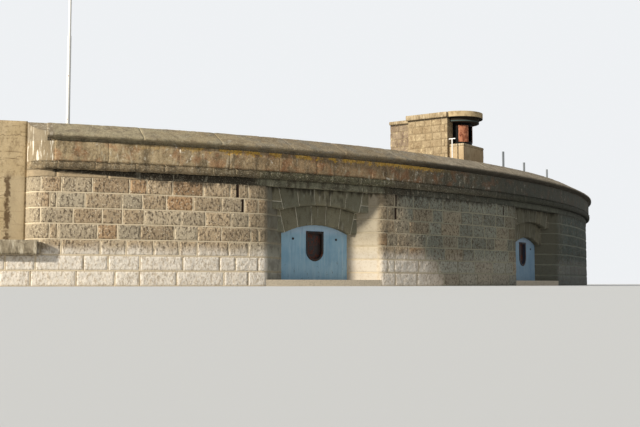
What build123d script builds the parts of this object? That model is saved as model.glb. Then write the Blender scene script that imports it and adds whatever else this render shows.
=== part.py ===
"""Curved granite coastal battery: a casemated fort wall with three shielded embrasures.

A scale model of the building at 1:2. Every size below is written in real metres times M,
so the model comes out in millimetres at half size. +Z is up, the battery faces -Y, and
the origin lies under the middle of its footprint, at ground level.
"""

from build123d import *
from math import asin, cos, degrees, radians, sin, sqrt
import os

# Scale of the model, and the model's millimetres for one metre of the building.
SCALE = 1 / 2
M = 1000 * SCALE

# The arc of the battery, in plan.
face_r = 44.4 * M               # radius of the granite face
bay_deg = 21.7                  # from one embrasure to the next
end_deg = 16.6                  # from the last embrasure to the end of the wall
bays = (-bay_deg, 0.0, bay_deg)
half_deg = bay_deg + end_deg    # half of the whole arc

# The casemates behind the face.
front_t = 1.8 * M               # front wall
rear_t = 0.9 * M                # rear wall
depth = 10.5 * M                # granite face to rear face
end_t = 1.2 * M                 # end walls
floor_t = 0.3 * M
roof_t = 0.83 * M
roof_overhang = 0.2 * M         # nosing of the roof over the rear wall

# Courses of the granite face.
course_h = 0.61 * M
wall_h = 7 * course_h
plinth_h = 2 * course_h
corner_r = 0.8 * M              # rounded end of the wall above its plinth
corner_bulge = 0.33             # how near that round comes to the square corner

# Mouldings along the top of the face.
band_h = 0.3 * M
cordon_h = 0.29 * M
cordon_out = 0.24 * M
cordon_nose = 0.1 * M           # bevel along the cordon's edges
parapet_t = 1.0 * M             # behind the granite face
parapet_h = 0.77 * M
parapet_out = 0.19 * M
neck_h = 0.15 * M               # recess under the coping's lip
neck_out = 0.08 * M
lip_out = 0.38 * M
lip_rise = 0.04 * M
lip_h = 0.07 * M
slope_rise = 0.56 * M
crest_w = 0.3 * M               # flat top of the coping
coping_end = 0.75 * M           # plain end of the coping, where its lip stops

# Embrasures: half widths, and setbacks behind the granite face.
mouth_hw = 3.05 * M
throat_hw = 1.75 * M
shield_set = 1.03 * M
shield_t = 0.15 * M
jamb = 0.2 * M                  # what holds the shield at each side
inner_splay = 0.65 * M          # how much the opening widens towards the casemate
arris_r = 0.35 * M
sill_h = 0.28 * M
spring_z = 2.35 * M
crown_rise = 0.39 * M
outer_set = 0.38 * M            # outer arch ring behind the granite face
inner_set = 0.72 * M
ring_h = 0.85 * M               # inner arch ring at its crown
ring_soffit_r = 7.85 * M        # curve between the two arch rings

# The gun port in each shield and the plate that shuts it.
port_w = 0.75 * M
port_h = 1.16 * M
port_z = 1.2 * M
port_corner_r = 0.08 * M
plate_t = 0.05 * M
plate_lap = 0.12 * M

# Doorways in the rear wall.
door_hw = 1.2 * M
door_spring_z = 2.5 * M
door_rise = 0.6 * M

# Ends of the battery: a rendered pier on the plinth, with a ledge in front.
pier_w = 1.6 * M
pier_set = 0.8 * M
pier_d = 2.0 * M
pier_top = 6.5 * M
ledge_h = 0.55 * M
ledge_out = 0.35 * M
ledge_lap = 0.45 * M            # how far the ledge runs in front of the granite

# Lookout on the roof: places are distances forward of the arc's centre.
lookout_rear = 35.5 * M
rear_block_l = 1.35 * M
rear_block_hw = 1.3 * M
rear_block_top = 9.75 * M
rear_slab_h = 0.2 * M
rear_door_hw = 0.45 * M
rear_door_h = 2.0 * M
tower_l = 2.6 * M
tower_hw = 1.5 * M
tower_top = 9.85 * M
tower_slab_h = 0.3 * M
slab_lap = 0.1 * M
lookout_wall = 0.3 * M
base_l = 0.95 * M
base_hw = 1.3 * M
base_top = 8.1 * M
base_cap_h = 0.15 * M
drum_r = 0.78 * M
drum_t = 0.06 * M
slot_deg = 20.0                 # half of the drum's open front
slot_sill = 0.25 * M
slot_head = 0.2 * M
shutter_deg = 45.0
shutter_t = 0.03 * M
shutter_lap = 0.05 * M
hood_r = 1.2 * M
hood_h = 0.26 * M
cap_r = 1.42 * M
cap_h = 0.33 * M

# Handrail beside the lookout, posts on the parapet and the flagpole.
rail_r = 0.035 * M
rail_top = 8.5 * M
rail_arm = 0.4 * M
rail_arm_w = 0.05 * M
rail_gap = 0.5 * M              # clear of the lookout's flank
post_w = 0.09 * M
post_tall = 0.89 * M
post_short = 0.56 * M
posts_deg = (-3.5, 0.0, 5.1)    # the tall post and the two short ones
pole_r = 0.078 * M
pole_tip_r = 0.06 * M
pole_tip_z = 10.6 * M           # where the pole's upper length starts
pole_top = 14.6 * M
pole_deg = -36.1
pole_back = 3.0 * M             # behind the granite face
foot_w = 0.36 * M               # square foot of the pole
foot_h = 0.12 * M
truck_r = 0.09 * M              # cap on the pole's tip
truck_h = 0.125 * M

# Levels and radii that follow from the sizes above.
inner_r = face_r - front_t
rear_r = face_r - depth
rear_in_r = rear_r + rear_t
parapet_back_r = face_r - parapet_t
band_top = wall_h + band_h
cordon_top = band_top + cordon_h
parapet_top = cordon_top + parapet_h
lip_z = parapet_top + neck_h + lip_rise
crest_z = lip_z + lip_h + slope_rise
roof_z = wall_h + roof_t
roof_rear_r = rear_r - roof_overhang
end_wall_deg = degrees(end_t / inner_r)
pier_deg = degrees(pier_w / face_r)
inner_hw = throat_hw - jamb + inner_splay
tower_rear = lookout_rear + rear_block_l
tower_front = tower_rear + tower_l
base_front = tower_front + base_l

# The arc's centre lies behind the footprint, so that the origin is at its middle.
front_most = face_r + lip_out
rear_most = roof_rear_r * cos(radians(half_deg))
centre_y = (front_most + rear_most) / 2

os.makedirs("parts", exist_ok=True)


def at(radius, angle):
    """A point in plan, at a radius from the arc's centre and an angle from the front axis."""
    turn = radians(angle)
    return (radius * sin(turn), centre_y - radius * cos(turn))


def local(angle, across, setback):
    """A point in plan beside the axis of the bay at an angle, behind the granite face."""
    turn = radians(angle)
    radius = face_r - setback
    return (
        radius * sin(turn) + across * cos(turn),
        centre_y - radius * cos(turn) + across * sin(turn),
    )


def facing(angle, radius=face_r):
    """Upright plane that faces outwards: its x runs along the wall, its y is height."""
    turn = radians(angle)
    point = at(radius, angle)
    return Plane(
        origin=(point[0], point[1], 0),
        x_dir=(cos(turn), sin(turn), 0),
        z_dir=(sin(turn), -cos(turn), 0),
    )


def section(angle):
    """Upright plane through the arc's axis: its x is radius, its y is height."""
    turn = radians(angle)
    return Plane(
        origin=(0, centre_y, 0),
        x_dir=(sin(turn), -cos(turn), 0),
        z_dir=(-cos(turn), -sin(turn), 0),
    )


def round_arc(radius, start, end, centre=(0, centre_y)):
    """An arc in plan between two angles from the front axis."""
    with BuildLine() as line:
        CenterArc(centre, radius, start - 90, end - start)
    return line.line


def sector(outer, inner, start, end):
    """Plan of a length of the ring."""
    with BuildSketch() as plan:
        with BuildLine():
            add(round_arc(outer, start, end))
            Line(at(outer, end), at(inner, end))
            add(round_arc(inner, start, end))
            Line(at(inner, start), at(outer, start))
        make_face()
    return plan.sketch


def keep(builder, name):
    """Label a finished sub-part and write its file."""
    builder.part.label = name
    export_step(builder.part, f"parts/{name}.step")


def ring_piece(name, outer, inner, start, end, bottom, height):
    """A plain length of the ring."""
    with BuildPart() as piece:
        with BuildSketch(Plane.XY.offset(bottom)):
            add(sector(outer, inner, start, end))
        extrude(amount=height)
    keep(piece, name)


arc_axis = Axis((0, centre_y, 0), (0, 0, 1))
mouth_deg = degrees(asin(mouth_hw / face_r))
inner_deg = degrees(asin(inner_hw / inner_r))


def jamb_points(bay, side):
    """The stepped side of an embrasure in plan, from the shield's face to its inner jamb."""
    return [
        local(bay, side * throat_hw, shield_set),
        local(bay, side * throat_hw, shield_set + shield_t),
        local(bay, side * (throat_hw - jamb), shield_set + shield_t),
    ]


def rounded_ring(outer, inner, corner):
    """Plan of the whole ring, with a round corner at each end of its front."""
    with BuildSketch() as plan:
        add(sector(outer, inner, -half_deg, half_deg))
        for angle in (-half_deg, half_deg):
            fillet(plan.vertices().sort_by_distance((*at(outer, angle), 0))[0], radius=corner)
    return plan.sketch


def wall_plan(left_bay, right_bay, corner=0):
    """Plan of the front wall between two embrasures, or from one to the wall's right end.

    corner is the length of face that the round corner at the wall's end takes off.
    """
    start = left_bay + mouth_deg
    end = half_deg if right_bay is None else right_bay - mouth_deg
    inner_end = half_deg if right_bay is None else right_bay - inner_deg
    face_end = end - degrees(corner / face_r)
    right_side = [at(face_r - corner, end)]
    if right_bay is not None:
        right_side += jamb_points(right_bay, -1)
    right_side.append(at(inner_r, inner_end))
    left_side = [at(inner_r, left_bay + inner_deg), *reversed(jamb_points(left_bay, 1))]
    left_side.append(at(face_r, start))
    with BuildSketch() as plan:
        with BuildLine():
            add(round_arc(face_r, start, face_end))
            if corner > 0:
                cut_back = corner * corner_bulge
                on_round = at(face_r - cut_back, end - degrees(cut_back / face_r))
                ThreePointArc(at(face_r, face_end), on_round, at(face_r - corner, end))
            Polyline(*right_side)
            add(round_arc(inner_r, left_bay + inner_deg, inner_end))
            Polyline(*left_side)
        make_face()
        arrises = [start] if right_bay is None else [start, end]
        for angle in arrises:
            fillet(plan.vertices().sort_by_distance((*at(face_r, angle), 0))[0], radius=arris_r)
    return plan.sketch


def make_front_wall(name, left_bay, right_bay):
    """Granite wall between two embrasures; the left end's wall is the right one's mirror."""
    flip = left_bay is None
    if flip:
        left_bay, right_bay = -right_bay, None
    with BuildPart() as wall:
        if right_bay is None:
            with BuildSketch():
                add(wall_plan(left_bay, right_bay))
            extrude(amount=plinth_h)
            with BuildSketch(Plane.XY.offset(plinth_h)):
                add(wall_plan(left_bay, right_bay, corner_r))
            extrude(amount=wall_h - plinth_h)
        else:
            with BuildSketch():
                add(wall_plan(left_bay, right_bay))
            extrude(amount=wall_h)
        if flip:
            mirror(about=Plane.YZ, mode=Mode.REPLACE)
    keep(wall, name)


def mouth_plan(bay):
    """Plan of the whole opening of an embrasure, from the face to the casemate."""
    left, right = bay - mouth_deg, bay + mouth_deg
    inner_left, inner_right = bay - inner_deg, bay + inner_deg
    with BuildSketch() as plan:
        with BuildLine():
            add(round_arc(face_r, left, right))
            Polyline(at(face_r, right), *jamb_points(bay, 1), at(inner_r, inner_right))
            add(round_arc(inner_r, inner_left, inner_right))
            Polyline(at(inner_r, inner_left), *reversed(jamb_points(bay, -1)), at(face_r, left))
        make_face()
    return plan.sketch


crown_z = spring_z + crown_rise
ring_crown_z = crown_z + ring_h
soffit_r = (throat_hw**2 + crown_rise**2) / (2 * crown_rise)

# The rings' end joints lie on one line from the outer ring's centre through the shield's corner.
joint_slope = throat_hw / (spring_z - ring_crown_z + ring_soffit_r)
ring_hw = ring_soffit_r * joint_slope / sqrt(1 + joint_slope**2)


def under_curve(half_width, radius, top):
    """Area under an arch curve in a facing plane, from the ground up."""
    edge = top - radius + sqrt(radius**2 - half_width**2)
    with BuildSketch() as area:
        with BuildLine():
            ThreePointArc((-half_width, edge), (0, top), (half_width, edge))
            Polyline((half_width, edge), (half_width, 0), (-half_width, 0), (-half_width, edge))
        make_face()
    return area.sketch


def arch_opening(half_width, radius, top):
    """Area under an arch curve and its level springings, as wide as the embrasure's mouth."""
    edge = top - radius + sqrt(radius**2 - half_width**2)
    with BuildSketch() as area:
        add(under_curve(half_width, radius, top))
        with Locations((0, edge / 2)):
            Rectangle(2 * mouth_hw, edge)
    return area.sketch


def make_sills():
    """Low granite sill across each embrasure."""
    with BuildPart() as sills:
        for bay in bays:
            with BuildSketch():
                add(mouth_plan(bay))
            extrude(amount=sill_h)
    keep(sills, "embrasure_sills")


def make_arch(name, bay, setback, bottom_curve, top_curve):
    """One ring of an embrasure's arch, between the cheeks, from its face to the casemate.

    A curve is given by its half width, its radius and the height of its crown.
    """
    with BuildPart() as arch:
        with BuildSketch():
            add(mouth_plan(bay))
            ring = sector(face_r - setback, inner_r / 2, bay - bay_deg / 2, bay + bay_deg / 2)
            add(ring, mode=Mode.INTERSECT)
        extrude(amount=wall_h)
        if top_curve is not None:
            with BuildSketch(facing(bay)):
                add(arch_opening(*top_curve))
            extrude(amount=-2 * front_t, mode=Mode.INTERSECT)
        with BuildSketch(facing(bay)):
            add(arch_opening(*bottom_curve))
        extrude(amount=-2 * front_t, mode=Mode.SUBTRACT)
    keep(arch, name)


def port_outline():
    """The gun port in a facing plane: a square head, small corners and a round foot."""
    half = port_w / 2
    top = port_z + port_h
    foot = port_z + half
    with BuildSketch() as outline:
        with BuildLine():
            Line((-half, foot), (-half, top))
            Line((-half, top), (half, top))
            Line((half, top), (half, foot))
            ThreePointArc((half, foot), (0, port_z), (-half, foot))
        make_face()
        fillet(outline.vertices().group_by(Axis.Y)[-1], radius=port_corner_r)
    return outline.sketch


def make_shield(name, bay):
    """Iron shield that closes the embrasure's throat, with its gun port."""
    with BuildPart() as shield:
        with BuildSketch(facing(bay, face_r - shield_set)):
            add(under_curve(throat_hw, soffit_r, crown_z))
            with Locations((0, sill_h / 2)):
                Rectangle(2 * throat_hw, sill_h, mode=Mode.SUBTRACT)
            add(port_outline(), mode=Mode.SUBTRACT)
        extrude(amount=-shield_t)
    keep(shield, name)


def make_port_plates():
    """Plates that shut the gun ports from behind."""
    with BuildPart() as plates:
        for bay in bays:
            with BuildSketch(facing(bay, face_r - shield_set - shield_t)):
                with Locations((0, port_z + port_h / 2)):
                    Rectangle(port_w + 2 * plate_lap, port_h + 2 * plate_lap)
            extrude(amount=-plate_t)
    keep(plates, "port_plates")


def make_band():
    """Plain course over the embrasures, round at its ends like the wall under it."""
    with BuildPart() as band:
        with BuildSketch(Plane.XY.offset(wall_h)):
            add(rounded_ring(face_r, parapet_back_r, corner_r))
        extrude(amount=band_h)
    keep(band, "lintel_band")


def make_cordon():
    """Projecting string course with bevelled edges, carried round the ends."""
    with BuildPart() as cordon:
        with BuildSketch(Plane.XY.offset(band_top)):
            add(rounded_ring(face_r + cordon_out, parapet_back_r, corner_r + cordon_out))
        extrude(amount=cordon_h)
        curves = cordon.edges().filter_by(GeomType.CIRCLE)
        nose = curves.filter_by(lambda edge: abs(edge.radius - parapet_back_r) > cordon_nose)
        chamfer(nose, length=cordon_nose)
    keep(cordon, "cordon")


def make_parapet():
    """Parapet wall, round at its ends."""
    with BuildPart() as parapet:
        with BuildSketch(Plane.XY.offset(cordon_top)):
            add(rounded_ring(face_r + parapet_out, parapet_back_r, corner_r + parapet_out))
        extrude(amount=parapet_h)
    keep(parapet, "parapet")


def revolved(points, turn):
    """Solid of a section given as (radius, height) points, carried both ways from the front axis."""
    with BuildPart() as solid:
        with BuildSketch(section(-turn)):
            with BuildLine():
                Polyline(*points, close=True)
            make_face()
        revolve(axis=arc_axis, revolution_arc=2 * turn)
    return solid.part


def make_coping():
    """Sloping coping with a recessed neck and a projecting lip, which stops short of its ends."""
    neck_r = face_r + neck_out
    lip_r = face_r + lip_out
    neck_z = parapet_top + neck_h
    past_r = lip_r + neck_out
    past_z = neck_z + lip_rise * (past_r - neck_r) / (lip_r - neck_r)
    below_z = parapet_top - neck_h
    block = (
        (parapet_back_r, parapet_top),
        (lip_r, parapet_top),
        (lip_r, lip_z + lip_h),
        (parapet_back_r + crest_w, crest_z),
        (parapet_back_r, crest_z),
    )
    neck = ((neck_r, below_z), (past_r, below_z), (past_r, past_z), (neck_r, neck_z))
    lip_deg = half_deg - degrees(coping_end / face_r)
    with BuildPart() as coping:
        add(revolved(block, half_deg))
        add(revolved(neck, lip_deg), mode=Mode.SUBTRACT)
        with BuildSketch(Plane.XY.offset(below_z)):
            for start, end in ((-half_deg - 1, -lip_deg), (lip_deg, half_deg + 1)):
                add(sector(past_r, parapet_back_r - crest_w, start, end))
            end_plan = rounded_ring(face_r + parapet_out, parapet_back_r, corner_r + parapet_out)
            add(end_plan, mode=Mode.SUBTRACT)
        extrude(amount=crest_z - below_z + neck_h, mode=Mode.SUBTRACT)
    keep(coping, "coping")


def doorway_plan(bay, inner, outer):
    """Plan of a rear doorway between two radii."""
    inner_turn = degrees(asin(door_hw / inner))
    outer_turn = degrees(asin(door_hw / outer))
    with BuildSketch() as plan:
        with BuildLine():
            add(round_arc(outer, bay - outer_turn, bay + outer_turn))
            Line(at(outer, bay + outer_turn), at(inner, bay + inner_turn))
            add(round_arc(inner, bay - inner_turn, bay + inner_turn))
            Line(at(inner, bay - inner_turn), at(outer, bay - outer_turn))
        make_face()
    return plan.sketch


def make_rear_wall(name, left_bay, right_bay):
    """Rear wall between two doorways, or from one to the wall's end."""
    start = -half_deg if left_bay is None else left_bay
    end = half_deg if right_bay is None else right_bay
    with BuildPart() as wall:
        with BuildSketch():
            add(sector(rear_in_r, rear_r, start, end))
            for bay in (left_bay, right_bay):
                if bay is not None:
                    middle = at((rear_r + rear_in_r) / 2, bay)
                    with Locations(Location((*middle, 0), (0, 0, bay))):
                        Rectangle(2 * door_hw, 3 * rear_t, mode=Mode.SUBTRACT)
        extrude(amount=wall_h)
    keep(wall, name)


def make_rear_arch(name, bay):
    """Masonry over a rear doorway, with its segmental arch."""
    door_r = (door_hw**2 + door_rise**2) / (2 * door_rise)
    with BuildPart() as arch:
        with BuildSketch():
            add(doorway_plan(bay, rear_r, rear_in_r))
        extrude(amount=wall_h)
        with BuildSketch(facing(bay, rear_in_r)):
            add(under_curve(door_hw, door_r, door_spring_z + door_rise))
        extrude(amount=2 * rear_t, both=True, mode=Mode.SUBTRACT)
    keep(arch, name)


def make_floor():
    """Floor of the casemates, with a threshold through each rear doorway."""
    with BuildPart() as floor:
        with BuildSketch():
            turn = half_deg - end_wall_deg
            add(sector(inner_r, rear_in_r, -turn, turn))
            for bay in bays:
                add(doorway_plan(bay, rear_r, rear_in_r))
        extrude(amount=floor_t)
    keep(floor, "floor_slab")


def make_end(side, word):
    """Rendered pier, plinth and ledge at one end; side is -1 at the left and 1 at the right."""
    inner, outer = side * half_deg, side * (half_deg + pier_deg)
    pier_face = face_r - pier_set
    pier_back = pier_face - pier_d
    ring_piece(f"end_plinth_{word}", face_r, pier_back, inner, outer, 0, plinth_h)
    ring_piece(f"end_pier_{word}", pier_face, pier_back, inner, outer, plinth_h, pier_top - plinth_h)
    lap = side * (half_deg - degrees(ledge_lap / face_r))
    with BuildPart() as ledge:
        with BuildSketch(Plane.XY.offset(plinth_h)):
            add(sector(face_r + ledge_out, face_r, lap, outer))
            add(sector(face_r, pier_face, inner, outer))
        extrude(amount=ledge_h)
    keep(ledge, f"end_ledge_{word}")
    wall_inner = side * (half_deg - end_wall_deg)
    ring_piece(f"end_wall_{word}", inner_r, rear_in_r, wall_inner, inner, 0, wall_h)


def box_plan(half_width, rear, front):
    """Plan of a block on the front axis, between two distances forward of the arc's centre."""
    with BuildSketch() as plan:
        with Locations((0, centre_y - (rear + front) / 2)):
            Rectangle(2 * half_width, front - rear)
    return plan.sketch


def make_lookout_rooms():
    """The lookout's rear block, tower and front bay: plain hollow walls on the roof."""
    with BuildPart() as rear_block:
        with BuildSketch(Plane.XY.offset(roof_z)):
            add(box_plan(rear_block_hw, lookout_rear, tower_rear))
            room = box_plan(rear_block_hw - lookout_wall, lookout_rear + lookout_wall, tower_rear)
            add(room, mode=Mode.SUBTRACT)
        extrude(amount=rear_block_top - roof_z)
        with BuildSketch(Plane.XY.offset(roof_z)):
            add(box_plan(rear_door_hw, lookout_rear, lookout_rear + lookout_wall))
        extrude(amount=rear_door_h, mode=Mode.SUBTRACT)
    keep(rear_block, "lookout_rear_block")

    with BuildPart() as rear_slab:
        with BuildSketch(Plane.XY.offset(rear_block_top)):
            add(box_plan(rear_block_hw + slab_lap / 2, lookout_rear - slab_lap / 2, tower_rear))
        extrude(amount=rear_slab_h)
        with BuildSketch(Plane.XY.offset(tower_top)):
            add(box_plan(tower_hw + slab_lap, tower_rear - slab_lap, tower_front))
        extrude(amount=tower_slab_h, mode=Mode.SUBTRACT)
    keep(rear_slab, "lookout_rear_slab")

    with BuildPart() as tower:
        with BuildSketch(Plane.XY.offset(roof_z)):
            add(box_plan(tower_hw, tower_rear, tower_front))
            room = box_plan(tower_hw - lookout_wall, tower_rear + lookout_wall, tower_front - lookout_wall)
            add(room, mode=Mode.SUBTRACT)
        extrude(amount=tower_top - roof_z)
        with BuildSketch(Plane.XY.offset(roof_z)):
            add(box_plan(rear_door_hw, tower_rear, tower_rear + lookout_wall))
        extrude(amount=rear_door_h, mode=Mode.SUBTRACT)
        with BuildSketch(Plane.XY.offset(base_top + base_cap_h)):
            add(box_plan(drum_r - drum_t, tower_front - lookout_wall, tower_front))
        extrude(amount=tower_top - hood_h - base_top - base_cap_h, mode=Mode.SUBTRACT)
    keep(tower, "lookout_tower")

    with BuildPart() as tower_slab:
        with BuildSketch(Plane.XY.offset(tower_top)):
            add(box_plan(tower_hw + slab_lap, tower_rear - slab_lap, tower_front))
        extrude(amount=tower_slab_h)
    keep(tower_slab, "lookout_tower_slab")

    with BuildPart() as base:
        with BuildSketch(Plane.XY.offset(roof_z)):
            add(box_plan(base_hw, tower_front, base_front))
            room = box_plan(base_hw - lookout_wall, tower_front, base_front - lookout_wall)
            add(room, mode=Mode.SUBTRACT)
        extrude(amount=base_top - roof_z)
        with BuildSketch(Plane.XY.offset(base_top)):
            add(box_plan(base_hw, tower_front, base_front))
        extrude(amount=base_cap_h)
    keep(base, "lookout_base")


def drum_plan(outer, inner, start, end):
    """Plan of a length of the drum's wall, from one angle to another off the front axis."""
    centre = (0, centre_y - tower_front)

    def point(radius, angle):
        turn = radians(angle)
        return (centre[0] + radius * sin(turn), centre[1] - radius * cos(turn))

    with BuildSketch() as plan:
        with BuildLine():
            add(round_arc(outer, start, end, centre))
            Line(point(outer, end), point(inner, end))
            add(round_arc(inner, start, end, centre))
            Line(point(inner, start), point(outer, start))
        make_face()
    return plan.sketch


def make_drum():
    """Steel drum of the lookout, open at its front, with a plate over each flank."""
    bottom = base_top + base_cap_h
    top = tower_top - hood_h
    with BuildPart() as drum:
        with BuildSketch(Plane.XY.offset(bottom)):
            add(drum_plan(drum_r, drum_r - drum_t, -90, 90))
        extrude(amount=top - bottom)
        with BuildSketch(Plane.XY.offset(bottom + slot_sill)):
            add(drum_plan(drum_r + drum_t, drum_r - 2 * drum_t, -slot_deg, slot_deg))
        extrude(amount=top - bottom - slot_sill - slot_head, mode=Mode.SUBTRACT)
    keep(drum, "lookout_drum")

    with BuildPart() as shutters:
        for start, end in ((-slot_deg - shutter_deg, -slot_deg), (slot_deg, slot_deg + shutter_deg)):
            with BuildSketch(Plane.XY.offset(bottom + slot_sill - shutter_lap)):
                add(drum_plan(drum_r + shutter_t, drum_r, start, end))
            extrude(amount=top - bottom - slot_sill - slot_head + 2 * shutter_lap)
    keep(shutters, "lookout_shutters")


def half_disc(radius):
    """Plan of a bow-fronted slab against the tower's front."""
    front = centre_y - tower_front
    with BuildSketch() as plan:
        with BuildLine():
            ThreePointArc((-radius, front), (0, front - radius), (radius, front))
            Line((radius, front), (-radius, front))
        make_face()
    return plan.sketch


def make_bow_roof():
    """Stepped bow-fronted roof over the drum."""
    with BuildPart() as roof:
        with BuildSketch(Plane.XY.offset(tower_top - hood_h)):
            add(half_disc(hood_r))
        extrude(amount=hood_h)
        with BuildSketch(Plane.XY.offset(tower_top)):
            add(half_disc(cap_r))
        extrude(amount=cap_h)
    keep(roof, "lookout_bow_roof")


def make_handrail():
    """White post beside the lookout with a short arm across its top."""
    x = -(base_hw + rail_gap)
    y = centre_y - (tower_front + base_l / 2)
    with BuildPart() as rail:
        with BuildSketch(Plane.XY.offset(roof_z)):
            with Locations((x, y)):
                Circle(rail_r)
        extrude(amount=rail_top - roof_z)
        with BuildSketch(Plane.XZ.offset(-y - rail_arm / 2)):
            with Locations((x, rail_top - rail_arm_w / 2)):
                Rectangle(rail_arm_w, rail_arm_w)
        extrude(amount=rail_arm)
    keep(rail, "handrail")


def make_parapet_posts():
    """Three short square posts on the coping's flat crest."""
    with BuildPart() as posts:
        for angle, height in zip(posts_deg, (post_tall, post_short, post_short)):
            with BuildSketch(Plane.XY.offset(crest_z)):
                with Locations(Location((*at(parapet_back_r + crest_w / 2, angle), 0), (0, 0, angle))):
                    Rectangle(post_w, post_w)
            extrude(amount=height)
    keep(posts, "parapet_posts")


def make_flagpole():
    """Flagpole in two lengths of tube, with a square foot and a truck, standing on the roof."""
    place = at(face_r - pole_back, pole_deg)
    lengths = (
        (pole_r, roof_z + foot_h, pole_tip_z),
        (pole_tip_r, pole_tip_z, pole_top),
        (truck_r, pole_top, pole_top + truck_h),
    )
    with BuildPart() as pole:
        with BuildSketch(Plane.XY.offset(roof_z)):
            with Locations(Location((*place, 0), (0, 0, pole_deg))):
                Rectangle(foot_w, foot_w)
        extrude(amount=foot_h)
        for radius, bottom, top in lengths:
            with BuildSketch(Plane.XY.offset(bottom)):
                with Locations(place):
                    Circle(radius)
            extrude(amount=top - bottom)
    keep(pole, "flagpole")


# The front: granite walls, embrasures and their shields.
spans = list(zip((None,) + bays, bays + (None,)))
for index, (left_bay, right_bay) in enumerate(spans, start=1):
    make_front_wall(f"front_wall_{index}", left_bay, right_bay)
    make_rear_wall(f"rear_wall_{index}", left_bay, right_bay)
make_sills()
for index, bay in enumerate(bays, start=1):
    ring_curve = (ring_hw, ring_soffit_r, ring_crown_z)
    make_arch(f"outer_arch_{index}", bay, outer_set, ring_curve, None)
    make_arch(f"inner_arch_{index}", bay, inner_set, (throat_hw, soffit_r, crown_z), ring_curve)
    make_shield(f"shield_{index}", bay)
    make_rear_arch(f"rear_arch_{index}", bay)
make_port_plates()

# The mouldings, the roof and the floor run the whole length of the arc.
make_band()
make_cordon()
make_parapet()
make_coping()
ring_piece("roof_slab", parapet_back_r, roof_rear_r, -half_deg, half_deg, wall_h, roof_t)
make_floor()

# The ends, the lookout and what stands on the roof.
make_end(-1, "left")
make_end(1, "right")
make_lookout_rooms()
make_drum()
make_bow_roof()
make_handrail()
make_parapet_posts()
make_flagpole()
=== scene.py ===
"""Finish of the curved granite coastal battery: its stones, render, paint, rust and light.

Everything is in metres of the 1:2 model. M turns one metre of the building into model metres.
Lengths along a wall are called u, heights or lengths along a section v, and h stands proud.
"""

from itertools import pairwise
from math import acos, asin, atan2, cos, degrees, pi, radians, sin, tan
import bpy
import numpy as np
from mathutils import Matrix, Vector


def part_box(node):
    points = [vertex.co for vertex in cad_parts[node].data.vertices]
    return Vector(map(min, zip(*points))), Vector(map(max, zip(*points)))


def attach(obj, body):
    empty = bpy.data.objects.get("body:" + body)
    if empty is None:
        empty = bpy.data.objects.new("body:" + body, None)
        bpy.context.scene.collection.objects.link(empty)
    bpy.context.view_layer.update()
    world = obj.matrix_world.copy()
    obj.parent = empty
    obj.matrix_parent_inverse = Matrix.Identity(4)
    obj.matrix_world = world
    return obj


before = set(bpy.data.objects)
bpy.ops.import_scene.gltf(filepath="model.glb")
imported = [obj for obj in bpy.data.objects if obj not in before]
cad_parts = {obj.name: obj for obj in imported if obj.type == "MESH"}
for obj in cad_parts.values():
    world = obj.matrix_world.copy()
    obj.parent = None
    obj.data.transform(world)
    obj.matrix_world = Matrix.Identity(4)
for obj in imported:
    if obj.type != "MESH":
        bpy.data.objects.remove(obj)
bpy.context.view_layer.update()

M = 0.5

# The arc of the battery, read from the frame.
HALF = radians(38.3)
BAY = radians(21.7)
BAYS = (-BAY, 0.0, BAY)
SIDES = ((-1, "left"), (1, "right"))
band_low, band_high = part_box("lintel_band")
FACE_R = 44.4 * M
CENTRE_Y = band_low[1] + FACE_R
COURSE = 0.61 * M
ROWS = 7
PLINTH_ROWS = 2
PLINTH_TOP = PLINTH_ROWS * COURSE
WALL_TOP = ROWS * COURSE
BAND_TOP = band_high[2]
CORDON_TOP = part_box("cordon")[1][2]
PARAPET_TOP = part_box("parapet")[1][2]
CREST_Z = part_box("coping")[1][2]
ROOF_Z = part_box("roof_slab")[1][2]
REAR_R = FACE_R - 10.5 * M
PARAPET_BACK = FACE_R - 1.0 * M

# Mouldings over the face.
CORDON_OUT = 0.24 * M
CORDON_NOSE = 0.1 * M
PARAPET_OUT = 0.19 * M
NECK_OUT = 0.08 * M
NECK_H = 0.15 * M
LIP_OUT = 0.38 * M
LIP_Z = PARAPET_TOP + NECK_H + 0.04 * M
LIP_H = 0.07 * M
CREST_W = 0.3 * M

# Embrasures.
MOUTH_HW = 3.05 * M
THROAT_HW = 1.75 * M
SHIELD_SET = 1.03 * M
PORT_HW = 0.375 * M
PORT_Z = 1.2 * M
PORT_TOP = 2.36 * M
PORT_FRAME_W = 0.09 * M
PORT_FRAME_T = 0.02 * M
BOLT_R = 0.055 * M
BOLT_T = 0.03 * M
BOLT_X = 1.15 * M
BOLT_Z = 2.1 * M
ARRIS_R = 0.35 * M
CROWN_Z = 2.74 * M
CROWN_RISE = 0.39 * M
OUTER_SET = 0.38 * M
INNER_SET = 0.72 * M
RING_CROWN_Z = CROWN_Z + 0.85 * M
RING_R = 7.85 * M
MOUTH = asin(MOUTH_HW / FACE_R)
SOFFIT_R = (THROAT_HW**2 + CROWN_RISE**2) / (2 * CROWN_RISE)

# The joints of both rings lie on lines from the outer ring's centre; the last pass the shield's corner.
RING_CENTRE_Z = RING_CROWN_Z - RING_R
SPRING_Z = CROWN_Z - CROWN_RISE
RING_TURN = atan2(THROAT_HW, SPRING_Z - RING_CENTRE_Z)
RING_SPRING_Z = RING_CENTRE_Z + RING_R * cos(RING_TURN)
RING_STONES = 5
RING_GAP = 0.006
RING_WORN = 0.022
RING_ARRIS = 0.03

# Lookout.
BLOCK_H = 0.45 * M
BLOCK = 0.62 * M
BASE_CAP_H = 0.15 * M
REAR_DOOR_HW = 0.45 * M
REAR_DOOR_H = 2.0 * M

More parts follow.
